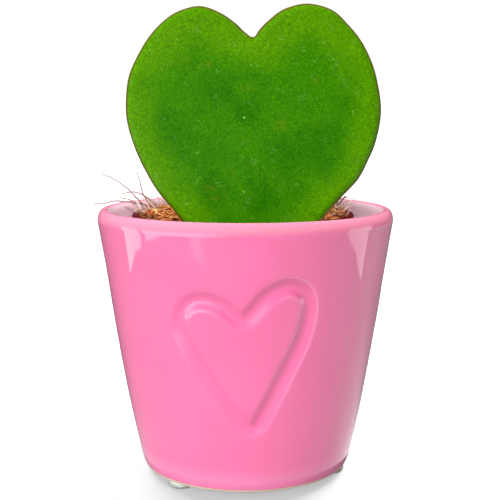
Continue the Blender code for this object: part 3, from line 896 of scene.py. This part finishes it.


# %% [markdown]
# ## The leaf
#
# A sweetheart hoya's leaf is a water store: some three and a half millimetres thick, stiff, with a full
# round edge and a smooth skin. One leaf set in soil by its stalk makes roots and stays a single leaf
# for years.
#
# Half of its outline is never quite the mirror of the other, so both sides are drawn one by one. Rings of
# the outline shrink towards the middle of the blade on the front and on the back. How far a point
# stands forward depends on its distance from the edge: a quarter round at the rim, then almost flat,
# with the slight waves a living leaf has. That distance is kept as an attribute, since the skin's
# colour follows it too.

# %% Sizes of the leaf
LEAF_X, LEAF_Y = 1.8 * MM, -9.0 * MM
LEAF_LEAN, LEAF_LEVEL = 0.04, 60.4 * MM
LEAF_HALF_THICKNESS, LEAF_EDGE_ROUND = 1.8 * MM, 2.0 * MM
LEAF_CURL, LEAF_HALF_WIDTH = 1.0 * MM, 29.1 * MM
LEAF_CENTRE_Z = 84.4 * MM
LEAF_WAVES = [(0.2 * MM, 9 * MM), (0.05 * MM, 3 * MM)]
LEAF_NOTCH, LEAF_STALK_END = (0.0, 102.8), (0.0, 34.4)
LEAF_RIGHT_SIDE = [
    (1.5, 104.6), (3.3, 106.4), (6.9, 109.0), (12.2, 110.25), (17.7, 108.9), (21.3, 105.8),
    (24.4, 102.1), (26.75, 97.7), (28.2, 93.2), (29.2, 86.5), (28.2, 79.7), (26.4, 75.1),
    (24.0, 70.55), (19.7, 66.0), (15.8, 61.4), (10.6, 55.4), (6.0, 49.4), (1.9, 42.9), (1.2, 35.4),
]
LEAF_LEFT_SIDE = [
    (2.1, 104.1), (4.0, 105.9), (7.6, 108.3), (12.0, 109.7), (16.6, 108.7), (20.2, 106.5),
    (23.8, 102.7), (26.9, 97.5), (28.6, 93.0), (29.1, 86.4), (28.4, 81.8), (26.9, 77.2),
    (24.8, 72.7), (22.1, 68.1), (18.2, 63.5), (16.4, 61.2), (11.0, 55.4), (6.0, 49.4), (1.9, 42.9),
    (1.2, 35.4),
]


def leaf_outline(count):
    """The leaf's closed outline, clockwise from the notch, as evenly spaced points."""
    left = [(-across, height) for across, height in reversed(LEAF_LEFT_SIDE)]
    knots = [LEAF_NOTCH] + LEAF_RIGHT_SIDE + [LEAF_STALK_END] + left
    path = np.array([tuple(point) for point in smooth_path(knots, 16, closed=True)]) * MM
    path = np.vstack([path, path[:1]])
    along = np.concatenate([[0.0], np.cumsum(np.linalg.norm(np.diff(path, axis=0), axis=1))])
    places = np.linspace(0, along[-1], count, endpoint=False)
    return np.stack([np.interp(places, along, path[:, axis]) for axis in range(2)], axis=1)


def distance_to_outline(points, outline):
    """Distance of each point to the nearest edge of the outline."""
    starts, steps = outline, np.roll(outline, -1, axis=0) - outline
    lengths = (steps ** 2).sum(axis=1)
    nearest = []
    for point in points:
        t = np.clip(((point - starts) * steps).sum(axis=1) / lengths, 0, 1)
        gap = point - starts - steps * t[:, None]
        nearest.append(math.sqrt((gap ** 2).sum(axis=1).min()))
    return np.array(nearest)


def leaf_place(across, height, forward):
    """A place in the leaf, from its middle line, height and distance in front of its mid plane."""
    curl = LEAF_CURL * (across / LEAF_HALF_WIDTH) ** 2
    return (LEAF_X + across, LEAF_Y + LEAF_LEAN * (height - LEAF_LEVEL) + curl - forward, height)


def leaf_waves(across, height, side):
    """Slow waves of the blade, different on its front and back."""
    place = Vector((across, height, side * 40 * MM))
    return sum(depth * noise.noise(place / length) for depth, length in LEAF_WAVES)


def leaf_mesh(count, rings, margin=0.0, name="leaf"):
    """Closed cushion-shaped mesh of the leaf, grown by a margin."""
    outline = leaf_outline(count)
    ahead = np.roll(outline, -1, axis=0) - np.roll(outline, 1, axis=0)
    ahead /= np.linalg.norm(ahead, axis=1)[:, None]
    rim = outline + margin * np.stack([-ahead[:, 1], ahead[:, 0]], axis=1)
    centre = np.array([0.0, LEAF_CENTRE_Z])
    shares = [1 - (ring / rings) ** 1.8 for ring in range(rings)]
    flat = np.vstack([centre + share * (rim - centre) for share in shares] + [centre[None]])
    depth = distance_to_outline(flat, rim)
    depth[:count] = 0.0
    inward = 1 - np.minimum(depth / LEAF_EDGE_ROUND, 1)
    forward = (LEAF_HALF_THICKNESS + margin) * np.sqrt(1 - inward ** 2)
    calm = np.minimum(depth / (4 * MM), 1)
    vertices, from_edge = [], []
    back_start = len(flat) - count
    for side in (1, -1):
        for index, (across, height) in enumerate(flat):
            if side == -1 and index < count:
                continue
            lift = forward[index] + (0 if margin else calm[index] * leaf_waves(across, height, side))
            vertices.append(leaf_place(across, height, side * lift))
            from_edge.append(depth[index] / MM)
    faces = []
    for side in (1, -1):
        def number(ring, place):
            index = ring * count + place % count
            return index if side == 1 or ring == 0 else index + back_start
        for ring in range(rings - 1):
            for i in range(count):
                corners = (
                    number(ring, i), number(ring, i + 1), number(ring + 1, i + 1), number(ring + 1, i),
                )
                faces.append(corners if side == 1 else corners[::-1])
        middle = rings * count + (0 if side == 1 else back_start)
        for i in range(count):
            corners = (number(rings - 1, i), number(rings - 1, i + 1), middle)
            faces.append(corners if side == 1 else corners[::-1])
    mesh = bpy.data.meshes.new(name)
    mesh.from_pydata(vertices, [], faces)
    mesh.attributes.new("from_edge", "FLOAT", "POINT").data.foreach_set("value", from_edge)
    mesh.shade_smooth()
    return mesh


# %% [markdown]
# ### The leaf's skin
#
# The skin is satin, not glossy, and its green is never even. It is yellow-green along the margin and in
# the two lobes and deeper in the middle, with darker clouds, a fine grain, a few pale dots and fine
# scratches, and a thin brown line where the edge has corked over. Near the soil the right edge is
# pale cream. The margin's colours come from the distance attribute and the rest is noise at several
# scales.

# %% Leaf skin
LOBE_BAND, SOIL_BAND = (92 * MM, 108 * MM), (66.5 * MM, 62.5 * MM)


def leaf_material():
    material, tree, shader, place = new_material("leaf_skin", IOR=1.4, Specular_IOR_Level=0.08)
    spot = put(tree, "ShaderNodeSeparateXYZ", {0: place}).outputs
    edge = attribute(tree, "from_edge")
    drift = calc(tree, "MULTIPLY", calc(tree, "SUBTRACT", grain(tree, place, 110.0, 3.0), 0.5), 9.0)
    lobe = spread(tree, spot["Z"], *LOBE_BAND, 0.0, 5.5)
    depth = calc(tree, "SUBTRACT", calc(tree, "ADD", edge, drift), lobe)
    inner = spread(tree, depth, 0.5, 10.0)
    green = mix(tree, inner, tone(84, 147, 0), tone(57, 129, 0))
    cloud = spread(tree, grain(tree, place, 75.0, 3.0, 0.55), 0.48, 0.68)
    cloud = calc(tree, "MULTIPLY", calc(tree, "MULTIPLY", cloud, inner), 0.75)
    green = mix(tree, cloud, green, tone(38, 110, 0))
    cells = grain(tree, place, 1500.0, 3.0, 0.7)
    tint = ramp(tree, cells, [(0.3, (0.7, 0.78, 0.6)), (0.7, (1.25, 1.18, 1.6))])
    green = mix(tree, 1.0, green, tint, "MULTIPLY")
    fine = grain(tree, place, 3000.0, 2.0, 0.6)
    tint = ramp(tree, fine, [(0.34, (0.76, 0.84, 0.62)), (0.66, (1.21, 1.14, 1.5))])
    green = mix(tree, 1.0, green, tint, "MULTIPLY")
    warm = spread(tree, grain(tree, place, 140.0, 4.0, 0.6), 0.62, 0.75, 0.0, 0.3)
    green = mix(tree, warm, green, tone(120, 130, 20))
    scratches = grain(tree, place, 420.0, 2.0, 0.6, 2.5)
    thread = calc(tree, "ABSOLUTE", calc(tree, "SUBTRACT", scratches, 0.5))
    sparse = spread(tree, grain(tree, place, 420.0, 1.0), 0.62, 0.68)
    thread = calc(tree, "MULTIPLY", spread(tree, thread, 0.004, 0.014, 1.0, 0.0), sparse)
    green = mix(tree, calc(tree, "MULTIPLY", thread, 0.42), green, tone(160, 214, 106))
    dots = put(tree, "ShaderNodeTexVoronoi", {"Vector": place, "Scale": 210.0}).outputs
    chosen = put(tree, "ShaderNodeSeparateColor", {0: dots["Color"]}).outputs[0]
    dot = spread(tree, dots["Distance"], 0.035, 0.07, 1.0, 0.0)
    dot = calc(tree, "MULTIPLY", dot, spread(tree, chosen, 0.8, 0.82))
    green = mix(tree, calc(tree, "MULTIPLY", dot, 0.7), green, tone(170, 220, 110))
    cork = calc(tree, "ADD", edge, calc(tree, "MULTIPLY", grain(tree, place, 500.0, 3.0), 0.35))
    green = mix(tree, spread(tree, cork, 0.42, 0.88, 0.95, 0.0), green, tone(90, 80, 14))
    low = calc(tree, "MULTIPLY", spread(tree, spot["Z"], *SOIL_BAND), spread(tree, cork, 0.8, 0.35))
    low = calc(tree, "MULTIPLY", low, calc(tree, "GREATER_THAN", spot["X"], LEAF_X))
    green = mix(tree, low, green, tone(222, 190, 146))
    tree.links.new(green, shader.inputs["Base Color"])
    tree.links.new(calc(tree, "MULTIPLY_ADD", cells, 0.2, 0.35), shader.inputs["Roughness"])
    skin = calc(tree, "ADD", cells, calc(tree, "MULTIPLY", grain(tree, place, 2600.0, 2.0), 0.5))
    tree.links.new(bump(tree, skin, 0.05), shader.inputs["Normal"])
    return material


# %% Make the leaf
def make_leaf():
    leaf = add_mesh_object("hoya_leaf", leaf_mesh(440, 60))
    leaf.data.materials.append(leaf_material())
    face_out(leaf)
    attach(leaf, BODY)
    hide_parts("heart_leaf")


make_leaf()


# %% [markdown]
# ## The coir plug
#
# Coir is the husk of the coconut, shredded into short fibres and crumbs and pressed into a plug. Up
# close it is a mat of curled tan shreds with dark gaps between them. The plug's body is a turned
# solid with a lumpy top and a pocket for the leaf. It is painted dark, as painted shade for the gaps,
# because what shows of it is the gaps: the light shreds are separate fibres laid on top of it.

# %% Plug body
COIR_TOP_Z, COIR_TOP_RADIUS = 61.7 * MM, 25.3 * MM
COIR_EDGE_DROP, COIR_MOUND, COIR_ROUGHNESS, COIR_LUMP_SIZE = 0.8 * MM, 0.3 * MM, 0.9 * MM, 4.5 * MM
COIR_FRONT_DIP, COIR_DIP_START, COIR_DIP_END = 1.9 * MM, -4.0 * MM, -11.0 * MM
POCKET_MARGIN, FIT_GAP = 0.4 * MM, 0.3 * MM
SETTLE, SETTLE_EDGE, SETTLE_FRONT = 0.1 * MM, 0.35 * MM, 1.2 * MM
BODY_SUNK, CRUMB_HEIGHT, CRUMB_SIZE = 0.7 * MM, 0.45 * MM, 1.1 * MM
DENT_SHARE, DENT_SIZE = 0.012, 2.2 * MM


def coir_top(x, y):
    """Height of the plug's top at a place counted from the plug's own middle."""
    fall = (x ** 2 + y ** 2) / COIR_TOP_RADIUS ** 2
    lumps = noise.noise(Vector((x, y, 0.0)) / COIR_LUMP_SIZE)
    sunk = part_way(y, COIR_DIP_START, COIR_DIP_END)
    dip = COIR_FRONT_DIP * sunk ** 2 * (3 - 2 * sunk)
    return COIR_TOP_Z + COIR_MOUND * (1 - fall) + COIR_ROUGHNESS * lumps - dip


def settled_top(x, y):
    """What the fibres lie on: a little under the plug's top, and lower still along the rim."""
    edge = part_way(math.hypot(x, y), 22.5 * MM, 25 * MM)
    front = part_way(y, -6 * MM, -12 * MM)
    return coir_top(x, y) - SETTLE - SETTLE_EDGE * edge - SETTLE_FRONT * front


def coir_section():
    bottom_z = NURSERY_BASE_Z + NURSERY_WALL + FIT_GAP
    band_z = NURSERY_TOP_Z - NURSERY_RIM_HEIGHT
    clear = NURSERY_WALL + FIT_GAP
    top_edge = (COIR_TOP_RADIUS, COIR_TOP_Z - COIR_EDGE_DROP)
    shoulder = (nursery_radius(band_z) - clear, band_z - NURSERY_WALL)
    foot = (nursery_radius(bottom_z) - clear, bottom_z)
    rings = 70
    top = [(COIR_TOP_RADIUS * 0.99 * ring / rings, COIR_TOP_Z) for ring in range(rings + 1)]
    side = [top_edge] + line(top_edge, (COIR_TOP_RADIUS, band_z + 1.5 * FIT_GAP), 4)
    side += line(side[-1], shoulder, 2) + line(shoulder, foot, 40)
    return top + side + line(foot, (0.0, bottom_z), 8)


def coir_body_material():
    material, tree, shader, place = new_material("coir_body", Sheen_Weight=0.15)
    crumbs = grain(tree, place, 900.0, 5.0, 0.7, 0.6)
    # The darkest tones are painted shade for the gaps between the fibres.
    brown_and_gap_shade = ramp(tree, crumbs, [
        (0.35, tone(24, 5, 2)), (0.5, tone(58, 14, 3)),
        (0.62, tone(98, 34, 10)), (0.78, tone(160, 84, 36)),
    ])
    tree.links.new(brown_and_gap_shade, shader.inputs["Base Color"])
    tree.links.new(calc(tree, "MULTIPLY_ADD", crumbs, 0.2, 0.75), shader.inputs["Roughness"])
    tree.links.new(bump(tree, crumbs, 0.5), shader.inputs["Normal"])
    return material


# %% Make the plug's body
def roughen(body):
    """Give the flat top its lumps and crumbs, and dent the side."""
    for vertex in body.data.vertices:
        x, y, z = vertex.co
        if abs(z - COIR_TOP_Z) < 0.01 * MM:
            crumbs = noise.noise(Vector((x, y, 3 * MM)) / CRUMB_SIZE) * CRUMB_HEIGHT
            vertex.co.z = settled_top(x, y) + crumbs - BODY_SUNK
        elif z > NURSERY_BASE_Z + 2 * NURSERY_WALL:
            dent = 1 - DENT_SHARE * abs(noise.noise(vertex.co / DENT_SIZE))
            vertex.co.x, vertex.co.y = x * dent, y * dent


def make_coir_body():
    section = coir_section()
    body = run_tree(TURNED, "coir_body", section_mesh(section, [0.0] * len(section)), {
        "Columns": 240, "Wobble": 0.0, "Material": coir_body_material(),
    })
    roughen(body)
    move_mesh(body, NURSERY_X, 0.0)
    pocket = add_mesh_object("leaf_pocket", leaf_mesh(160, 10, POCKET_MARGIN, "leaf_pocket"))
    cut_with(body, [pocket])
    face_out(body)
    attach(body, BODY)
    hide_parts("coir_plug")


make_coir_body()


# %% [markdown]
# ### The mat of fibres
#
# A mat is a great many fibres, each a little different, and Geometry Nodes are made for that. About
# two thousand grow here. Points are scattered over a sheet that follows the plug's top, and each
# grows one straight fibre in a random direction. Once they are real curves, noise curls them, each
# with its own slice of the noise. They are pulled back inside the nursery pot's rim, pushed aside
# where the leaf stands, and laid on the sheet again. Then a small ring is swept along each. The same
# tree makes thick shreds and fine fibres, and also the pale fuzz at the far edge, which may reach
# past the rim and is left to stand up.

# %% Sheet that the fibres grow on
MAT_EDGE, RIM_START, GROUND_REACH = 24.6 * MM, 25.8 * MM, 27.4 * MM
RIM_CLEARANCE = 0.1 * MM


def ground_mesh(grow):
    """A disc over the plug and the nursery rim. Grow gives how densely fibres start at a place."""
    rings, columns = 60, 180
    vertices, amounts = [], []
    for ring in range(rings + 1):
        for column in range(columns):
            radius = GROUND_REACH * ring / rings
            angle = 2 * math.pi * column / columns
            x, y = radius * math.cos(angle), radius * math.sin(angle)
            edge = part_way(radius, MAT_EDGE, RIM_START)
            height = settled_top(x, y) * (1 - edge) + (NURSERY_TOP_Z + RIM_CLEARANCE) * edge
            vertices.append((x + NURSERY_X, y, height))
            amounts.append(grow(x, y))
    faces = []
    for ring in range(rings):
        for i in range(columns):
            ahead = (i + 1) % columns
            a, b = ring * columns + i, ring * columns + ahead
            faces.append((a, a + columns, b + columns, b))
    mesh = bpy.data.meshes.new("ground")
    mesh.from_pydata(vertices, [], faces)
    mesh.attributes.new("grow", "FLOAT", "POINT").data.foreach_set("value", amounts)
    return mesh


# %% Plant and curl the fibres
NOISE_SLICES = 41.0


def vector(tree, operation, *values):
    made = put(tree, "ShaderNodeVectorMath", dict(enumerate(values)), operation=operation)
    return made.outputs["Value" if operation in ("LENGTH", "DISTANCE") else "Vector"]


def random(tree, low, high, seed):
    made = put(tree, "FunctionNodeRandomValue", {2: low, 3: high, "Seed": seed}, data_type="FLOAT")
    return made.outputs[1]


def plant(tree, given, position):
    """Straight fibres on scattered points, as real curves, each with numbers of its own."""
    density = calc(tree, "MULTIPLY", given["Density"], stored(tree, "grow"))
    points = put(tree, "GeometryNodeDistributePointsOnFaces", {
        "Mesh": given["Geometry"], "Density": density, "Seed": given["Seed"],
    }).outputs["Points"]
    root = put(tree, "ShaderNodeSeparateXYZ", {0: position}).outputs
    outward = calc(tree, "ADD", calc(tree, "ARCTAN2", root["Y"], root["X"]), random(tree, -0.7, 0.7, 2))
    anyhow = random(tree, -math.pi, math.pi, 3)
    turned = calc(tree, "SUBTRACT", outward, anyhow)
    heading = calc(tree, "MULTIPLY_ADD", turned, given["Outward"], anyhow)
    stand = calc(tree, "MULTIPLY", given["Stand"], random(tree, -1.0, -0.35, 4))
    turn = put(tree, "ShaderNodeCombineXYZ", {"Y": stand, "Z": heading}).outputs[0]
    straight = put(tree, "GeometryNodeCurvePrimitiveLine", {
        "End": put(tree, "ShaderNodeCombineXYZ", {"X": given["Length"]}).outputs[0],
    }).outputs["Curve"]
    straight = put(tree, "GeometryNodeResampleCurve", {"Curve": straight, "Count": given["Points"]})
    size = put(tree, "ShaderNodeCombineXYZ", {
        "X": random(tree, 0.45, 1.3, 5), "Y": 1.0, "Z": 1.0,
    }).outputs[0]
    planted = put(tree, "GeometryNodeInstanceOnPoints", {
        "Points": points, "Instance": straight.outputs[0],
        "Rotation": put(tree, "FunctionNodeEulerToRotation", {0: turn}).outputs[0], "Scale": size,
    }).outputs["Instances"]
    draws = (("shade", 0.0, 1.0, 6), ("layer", 0.0, 1.0, 7), ("girth", 0.6, 1.25, 8))
    for name, low, high, seed in draws:
        planted = put(tree, "GeometryNodeStoreNamedAttribute", {
            "Geometry": planted, "Name": name, "Value": random(tree, low, high, seed),
        }, data_type="FLOAT", domain="INSTANCE").outputs[0]
    front = calc(tree, "LESS_THAN", root["Y"], LEAF_Y)
    planted = put(tree, "GeometryNodeStoreNamedAttribute", {
        "Geometry": planted, "Name": "in_front", "Value": front,
    }, data_type="FLOAT", domain="INSTANCE").outputs[0]
    return put(tree, "GeometryNodeRealizeInstances", {0: planted}).outputs[0]


def curl(tree, given, position, along, curves):
    """Shift each fibre's points by its own slice of the noise, and hand the noise on."""
    wave = put(tree, "ShaderNodeTexNoise", {
        "Vector": vector(tree, "DIVIDE", position, put(tree, "ShaderNodeCombineXYZ", {
            "X": given["Curl Size"], "Y": given["Curl Size"], "Z": given["Curl Size"],
        }).outputs[0]),
        "W": calc(tree, "MULTIPLY", stored(tree, "shade"), NOISE_SLICES), "Scale": 1.0, "Detail": 1.0,
    }, noise_dimensions="4D").outputs["Color"]
    free = calc(tree, "MINIMUM", calc(tree, "MULTIPLY", along, 3.0), 1.0)
    amount = calc(tree, "MULTIPLY", calc(tree, "MULTIPLY", given["Curl"], 2.0), free)
    shift = put(tree, "ShaderNodeVectorMath", {
        0: vector(tree, "SUBTRACT", wave, (0.5, 0.5, 0.5)), "Scale": amount,
    }, operation="SCALE").outputs["Vector"]
    return put(tree, "GeometryNodeSetPosition", {"Geometry": curves, "Offset": shift}).outputs[0], wave


# %% Lay the fibres down
LEAF_FOOT_X, LEAF_FOOT_Y = 17.2 * MM, 2.15 * MM
DROP_START, DROP_REACH = 100 * MM, 200 * MM


def keep_clear(tree, given, here):
    """The place along X and Y, pulled inside the rim and pushed aside where the leaf stands."""
    middle = calc(tree, "SUBTRACT", here["X"], NURSERY_X)
    far = calc(tree, "ADD", calc(tree, "POWER", middle, 2.0), calc(tree, "POWER", here["Y"], 2.0))
    far = calc(tree, "SQRT", far)
    pull = calc(tree, "MINIMUM", calc(tree, "DIVIDE", given["Reach"], calc(tree, "MAXIMUM", far, MM)), 1.0)
    x = calc(tree, "MULTIPLY_ADD", middle, pull, NURSERY_X)
    y = calc(tree, "MULTIPLY", here["Y"], pull)
    share = calc(tree, "DIVIDE", calc(tree, "SUBTRACT", x, LEAF_X), LEAF_FOOT_X)
    room = calc(tree, "SUBTRACT", 1.0, calc(tree, "MULTIPLY", share, share))
    half = calc(tree, "MULTIPLY", calc(tree, "SQRT", calc(tree, "MAXIMUM", room, 0.0)), LEAF_FOOT_Y)
    before = calc(tree, "MINIMUM", y, calc(tree, "SUBTRACT", LEAF_Y, half))
    behind = calc(tree, "MAXIMUM", y, calc(tree, "ADD", LEAF_Y, half))
    beside = calc(tree, "GREATER_THAN", room, 0.0)
    apart = calc(tree, "SUBTRACT", before, behind)
    sided = calc(tree, "MULTIPLY_ADD", apart, stored(tree, "in_front"), behind)
    return x, calc(tree, "MULTIPLY_ADD", calc(tree, "SUBTRACT", sided, y), beside, y)


def lay(tree, given, position, wave, bent):
    """Lay the fibres on the sheet again, each at its own height over it."""
    here = put(tree, "ShaderNodeSeparateXYZ", {0: position}).outputs
    x, y = keep_clear(tree, given, here)
    above = put(tree, "ShaderNodeCombineXYZ", {"X": x, "Y": y, "Z": DROP_START}).outputs[0]
    fall = put(tree, "GeometryNodeRaycast", {
        "Target Geometry": given["Geometry"], "Source Position": above,
        "Ray Direction": (0, 0, -1), "Ray Length": DROP_REACH,
    }).outputs
    ground_z = put(tree, "ShaderNodeSeparateXYZ", {0: fall["Hit Position"]}).outputs["Z"]
    ripple = put(tree, "ShaderNodeSeparateXYZ", {0: wave}).outputs["Z"]
    height = calc(tree, "MULTIPLY", calc(tree, "ADD", stored(tree, "layer"), ripple), given["Lift"])
    height = calc(tree, "SUBTRACT", height, calc(tree, "MULTIPLY", given["Lift"], 0.85))
    laid_z = calc(tree, "ADD", ground_z, height)
    keep = calc(tree, "MULTIPLY", given["Laid"], fall["Is Hit"])
    z = calc(tree, "MULTIPLY_ADD", calc(tree, "SUBTRACT", laid_z, here["Z"]), keep, here["Z"])
    place = put(tree, "ShaderNodeCombineXYZ", {"X": x, "Y": y, "Z": z}).outputs[0]
    return put(tree, "GeometryNodeSetPosition", {"Geometry": bent, "Position": place}).outputs[0]


# %% The tree that grows a mat
def fibre_tree():
    tree, given = new_tree("fibre_mat", {
        "Density": "Float", "Length": "Float", "Radius": "Float", "Points": "Int", "Sides": "Int",
        "Curl": "Float", "Curl Size": "Float", "Stand": "Float", "Outward": "Float", "Laid": "Float",
        "Lift": "Float", "Reach": "Float", "Seed": "Int", "Material": "Material",
    })
    position = put(tree, "GeometryNodeInputPosition").outputs[0]
    along = put(tree, "GeometryNodeSplineParameter").outputs["Factor"]
    bent, wave = curl(tree, given, position, along, plant(tree, given, position))
    settled = lay(tree, given, position, wave, bent)
    taper = calc(tree, "SUBTRACT", 1.0, calc(tree, "MULTIPLY", calc(tree, "POWER", along, 3.0), 0.7))
    girth = calc(tree, "MULTIPLY", calc(tree, "MULTIPLY", given["Radius"], stored(tree, "girth")), taper)
    ring = put(tree, "GeometryNodeCurvePrimitiveCircle", {"Resolution": given["Sides"], "Radius": 1.0})
    tubes = put(tree, "GeometryNodeCurveToMesh", {
        "Curve": settled, "Profile Curve": ring.outputs["Curve"], "Scale": girth, "Fill Caps": True,
    }).outputs[0]
    end_tree(tree, tubes, given["Material"])
    return tree


# %% Coir fibres
RIM_SHADE_BAND = (20.5 * MM, 25.0 * MM)


def coir_material(name, dark, middle, light, rim_shade=0.0):
    """Tan fibre, each one a shade of its own, browner in blotches along it, and darkened towards the rim
    by painted shade.
    """
    material, tree, shader, place = new_material(name, Sheen_Weight=0.05, Specular_IOR_Level=0.15)
    streak = grain(tree, place, 1300.0, 3.0, 0.6)
    own = calc(tree, "MULTIPLY", attribute(tree, "shade"), 0.72)
    mixed = calc(tree, "ADD", own, calc(tree, "MULTIPLY", streak, 0.28))
    colour = ramp(tree, mixed, [(0.2, tone(*dark)), (0.45, tone(*middle)), (0.75, tone(*light))])
    flat = put(tree, "ShaderNodeSeparateXYZ", {0: place}).outputs
    flat = put(tree, "ShaderNodeCombineXYZ", {"X": flat["X"], "Y": flat["Y"]}).outputs[0]
    # Painted shade: the fibres darken towards the rim, whose shade falls on the plug's edge.
    rim = spread(tree, vector(tree, "LENGTH", flat), *RIM_SHADE_BAND, 0.0, rim_shade)
    colour = mix(tree, rim, colour, tone(70, 20, 10))
    tree.links.new(colour, shader.inputs["Base Color"])
    tree.links.new(calc(tree, "MULTIPLY_ADD", streak, 0.3, 0.45), shader.inputs["Roughness"])
    tree.links.new(bump(tree, grain(tree, place, 5000.0, 2.0), 0.05), shader.inputs["Normal"])
    return material


def everywhere(x, y):
    return 1.0 if math.hypot(x, y) < MAT_EDGE else 0.0


def far_edge(x, y):
    return 1.0 if 20 * MM < math.hypot(x, y) < MAT_EDGE and y > -2 * MM else 0.0


def make_mats():
    tree = fibre_tree()
    tan = coir_material("coir_tan", (84, 16, 4), (222, 118, 56), (240, 182, 114), 0.4)
    pale = coir_material("coir_pale", (206, 150, 146), (236, 196, 192), (255, 232, 230))
    mats = {
        "coir_shreds": (everywhere, {
            "Density": 0.7e6, "Length": 7 * MM, "Radius": 0.17 * MM, "Points": 12, "Sides": 5,
            "Curl": 2.5 * MM, "Curl Size": 1.7 * MM, "Stand": 0.5, "Outward": 0.0, "Laid": 1.0,
            "Lift": 2.2 * MM, "Reach": 24.4 * MM, "Seed": 11, "Material": tan,
        }),
        "coir_fibres": (everywhere, {
            "Density": 0.24e6, "Length": 10 * MM, "Radius": 0.11 * MM, "Points": 10, "Sides": 3,
            "Curl": 2.4 * MM, "Curl Size": 3.0 * MM, "Stand": 0.5, "Outward": 0.0, "Laid": 1.0,
            "Lift": 2.6 * MM, "Reach": 24.9 * MM, "Seed": 23, "Material": tan,
        }),
        "coir_fuzz": (far_edge, {
            "Density": 0.9e6, "Length": 5.6 * MM, "Radius": 0.1 * MM, "Points": 9, "Sides": 3,
            "Curl": 1.6 * MM, "Curl Size": 3.0 * MM, "Stand": 0.95, "Outward": 1.0, "Laid": 0.0,
            "Lift": 0.0, "Reach": 30.5 * MM, "Seed": 37, "Material": pale,
        }),
    }
    for name, (grow, values) in mats.items():
        mat = run_tree(tree, name, ground_mesh(grow), values)
        face_out(mat)
        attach(mat, BODY)


make_mats()


# %% [markdown]
# ### Loose strands
#
# A dozen long hairs of coir stand up from the plug, and some reach past the rim. They are thickest at
# the root and paler towards the tip, and none is straight. Each is a route of a few given points, in
# millimetres, that starts on the plug. One tree sweeps a small ring along all of them, scaled by a
# thickness that was kept at each point.

# %% Strand routes
STRAND_RADIUS, STRAND_TAPER = 0.2 * MM, 0.4
KINK_DEPTH, KINK_SIZE = 0.15 * MM, 1.6 * MM
STRANDS = [
    ((-22.6, 7.0), [(-24.4, 5.0, 63.2), (-25.7, 4.5, 64.5), (-27.6, 4.5, 66.5), (-29.0, 4.5, 68.0),
                    (-31.9, 4.5, 69.9), (-35.0, 4.5, 71.3)]),
    ((-21.6, 1.5), [(-24.5, 3.0, 63.7), (-27.5, 4.0, 64.2), (-30.9, 4.0, 64.6), (-32.6, 4.0, 64.5),
                    (-34.7, 4.0, 64.0), (-36.9, 4.0, 64.0)]),
    ((-21.8, 9.0), [(-24.4, 8.0, 63.2), (-27.1, 7.5, 64.1), (-28.7, 7.5, 64.6), (-31.1, 7.5, 65.2)]),
    ((-20.8, 5.5), [(-23.4, 4.6, 63.8), (-24.4, 4.0, 65.6), (-25.1, 4.0, 67.0), (-25.5, 4.0, 69.1),
                    (-26.2, 4.0, 71.8)]),
    ((-19.6, 3.5), [(-23.0, 4.5, 64.6), (-25.3, 5.0, 66.1), (-26.7, 5.0, 66.6), (-28.3, 5.0, 66.7),
                    (-30.8, 5.0, 66.2)]),
    ((-22.4, -3.0), [(-24.6, -4.0, 62.7), (-26.2, -4.0, 62.9), (-27.2, -4.0, 63.3), (-28.3, -4.2, 64.1)]),
    ((20.4, 3.0), [(22.4, 5.0, 63.4), (24.4, 6.0, 65.6)]),
    ((19.6, -1.0), [(21.6, 1.0, 63.2), (22.4, 2.0, 65.8)]),
    ((18.4, 8.0), [(21.4, 9.0, 64.0), (25.6, 9.0, 65.2)]),
    ((-4.0, 20.4), [(-6.0, 24.0, 63.3), (-9.0, 28.0, 65.8), (-10.0, 31.0, 69.4)]),
    ((6.0, 19.6), [(9.0, 22.6, 63.6), (14.0, 26.0, 64.8)]),
    ((-12.0, 15.0), [(-16.0, 19.0, 64.3), (-20.0, 21.0, 68.4)]),
]


def strand_routes():
    """All routes as chains of edges in one mesh, with how thick and which shade each point is."""
    vertices, edges, girths, shades = [], [], [], []
    for index, ((x, y), points) in enumerate(STRANDS):
        x, y = x * MM, y * MM
        root = Vector((x, y, coir_top(x - NURSERY_X, y) - 0.2 * MM))
        path = smooth_path([root] + [Vector(point) * MM for point in points], 10)
        for step, place in enumerate(path):
            along = step / (len(path) - 1)
            slices = [Vector((7 * axis, 0, index)) for axis in range(3)]
            kink = Vector([noise.noise(place / KINK_SIZE + offset) for offset in slices])
            if step:
                edges.append((len(vertices) - 1, len(vertices)))
            vertices.append(place + kink * KINK_DEPTH * min(1, 4 * along))
            girths.append(STRAND_RADIUS * (1 - STRAND_TAPER * along ** 1.5))
            shades.append(0.1 + 0.4 * noise.noise(Vector((index * 1.7, 0.3, 0))) + 0.45 * along)
    mesh = bpy.data.meshes.new("routes")
    mesh.from_pydata(vertices, edges, [])
    mesh.attributes.new("girth", "FLOAT", "POINT").data.foreach_set("value", girths)
    mesh.attributes.new("shade", "FLOAT", "POINT").data.foreach_set("value", shades)
    return mesh


# %% Make the strands
def strand_tree():
    tree, given = new_tree("strands", {"Sides": "Int", "Material": "Material"})
    curves = put(tree, "GeometryNodeMeshToCurve", {0: given["Geometry"]}).outputs[0]
    ring = put(tree, "GeometryNodeCurvePrimitiveCircle", {"Resolution": given["Sides"], "Radius": 1.0})
    tubes = put(tree, "GeometryNodeCurveToMesh", {
        "Curve": curves, "Profile Curve": ring.outputs["Curve"], "Scale": stored(tree, "girth"),
        "Fill Caps": True,
    }).outputs[0]
    end_tree(tree, tubes, given["Material"])
    return tree


def make_strands():
    grey = coir_material("coir_strand", (132, 96, 90), (172, 140, 134), (196, 176, 172))
    strands = run_tree(strand_tree(), "coir_strands", strand_routes(), {"Sides": 7, "Material": grey})
    face_out(strands)
    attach(strands, BODY)
    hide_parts(*["coir_fibre_%02d" % (index + 1) for index in range(len(STRANDS))])


make_strands()
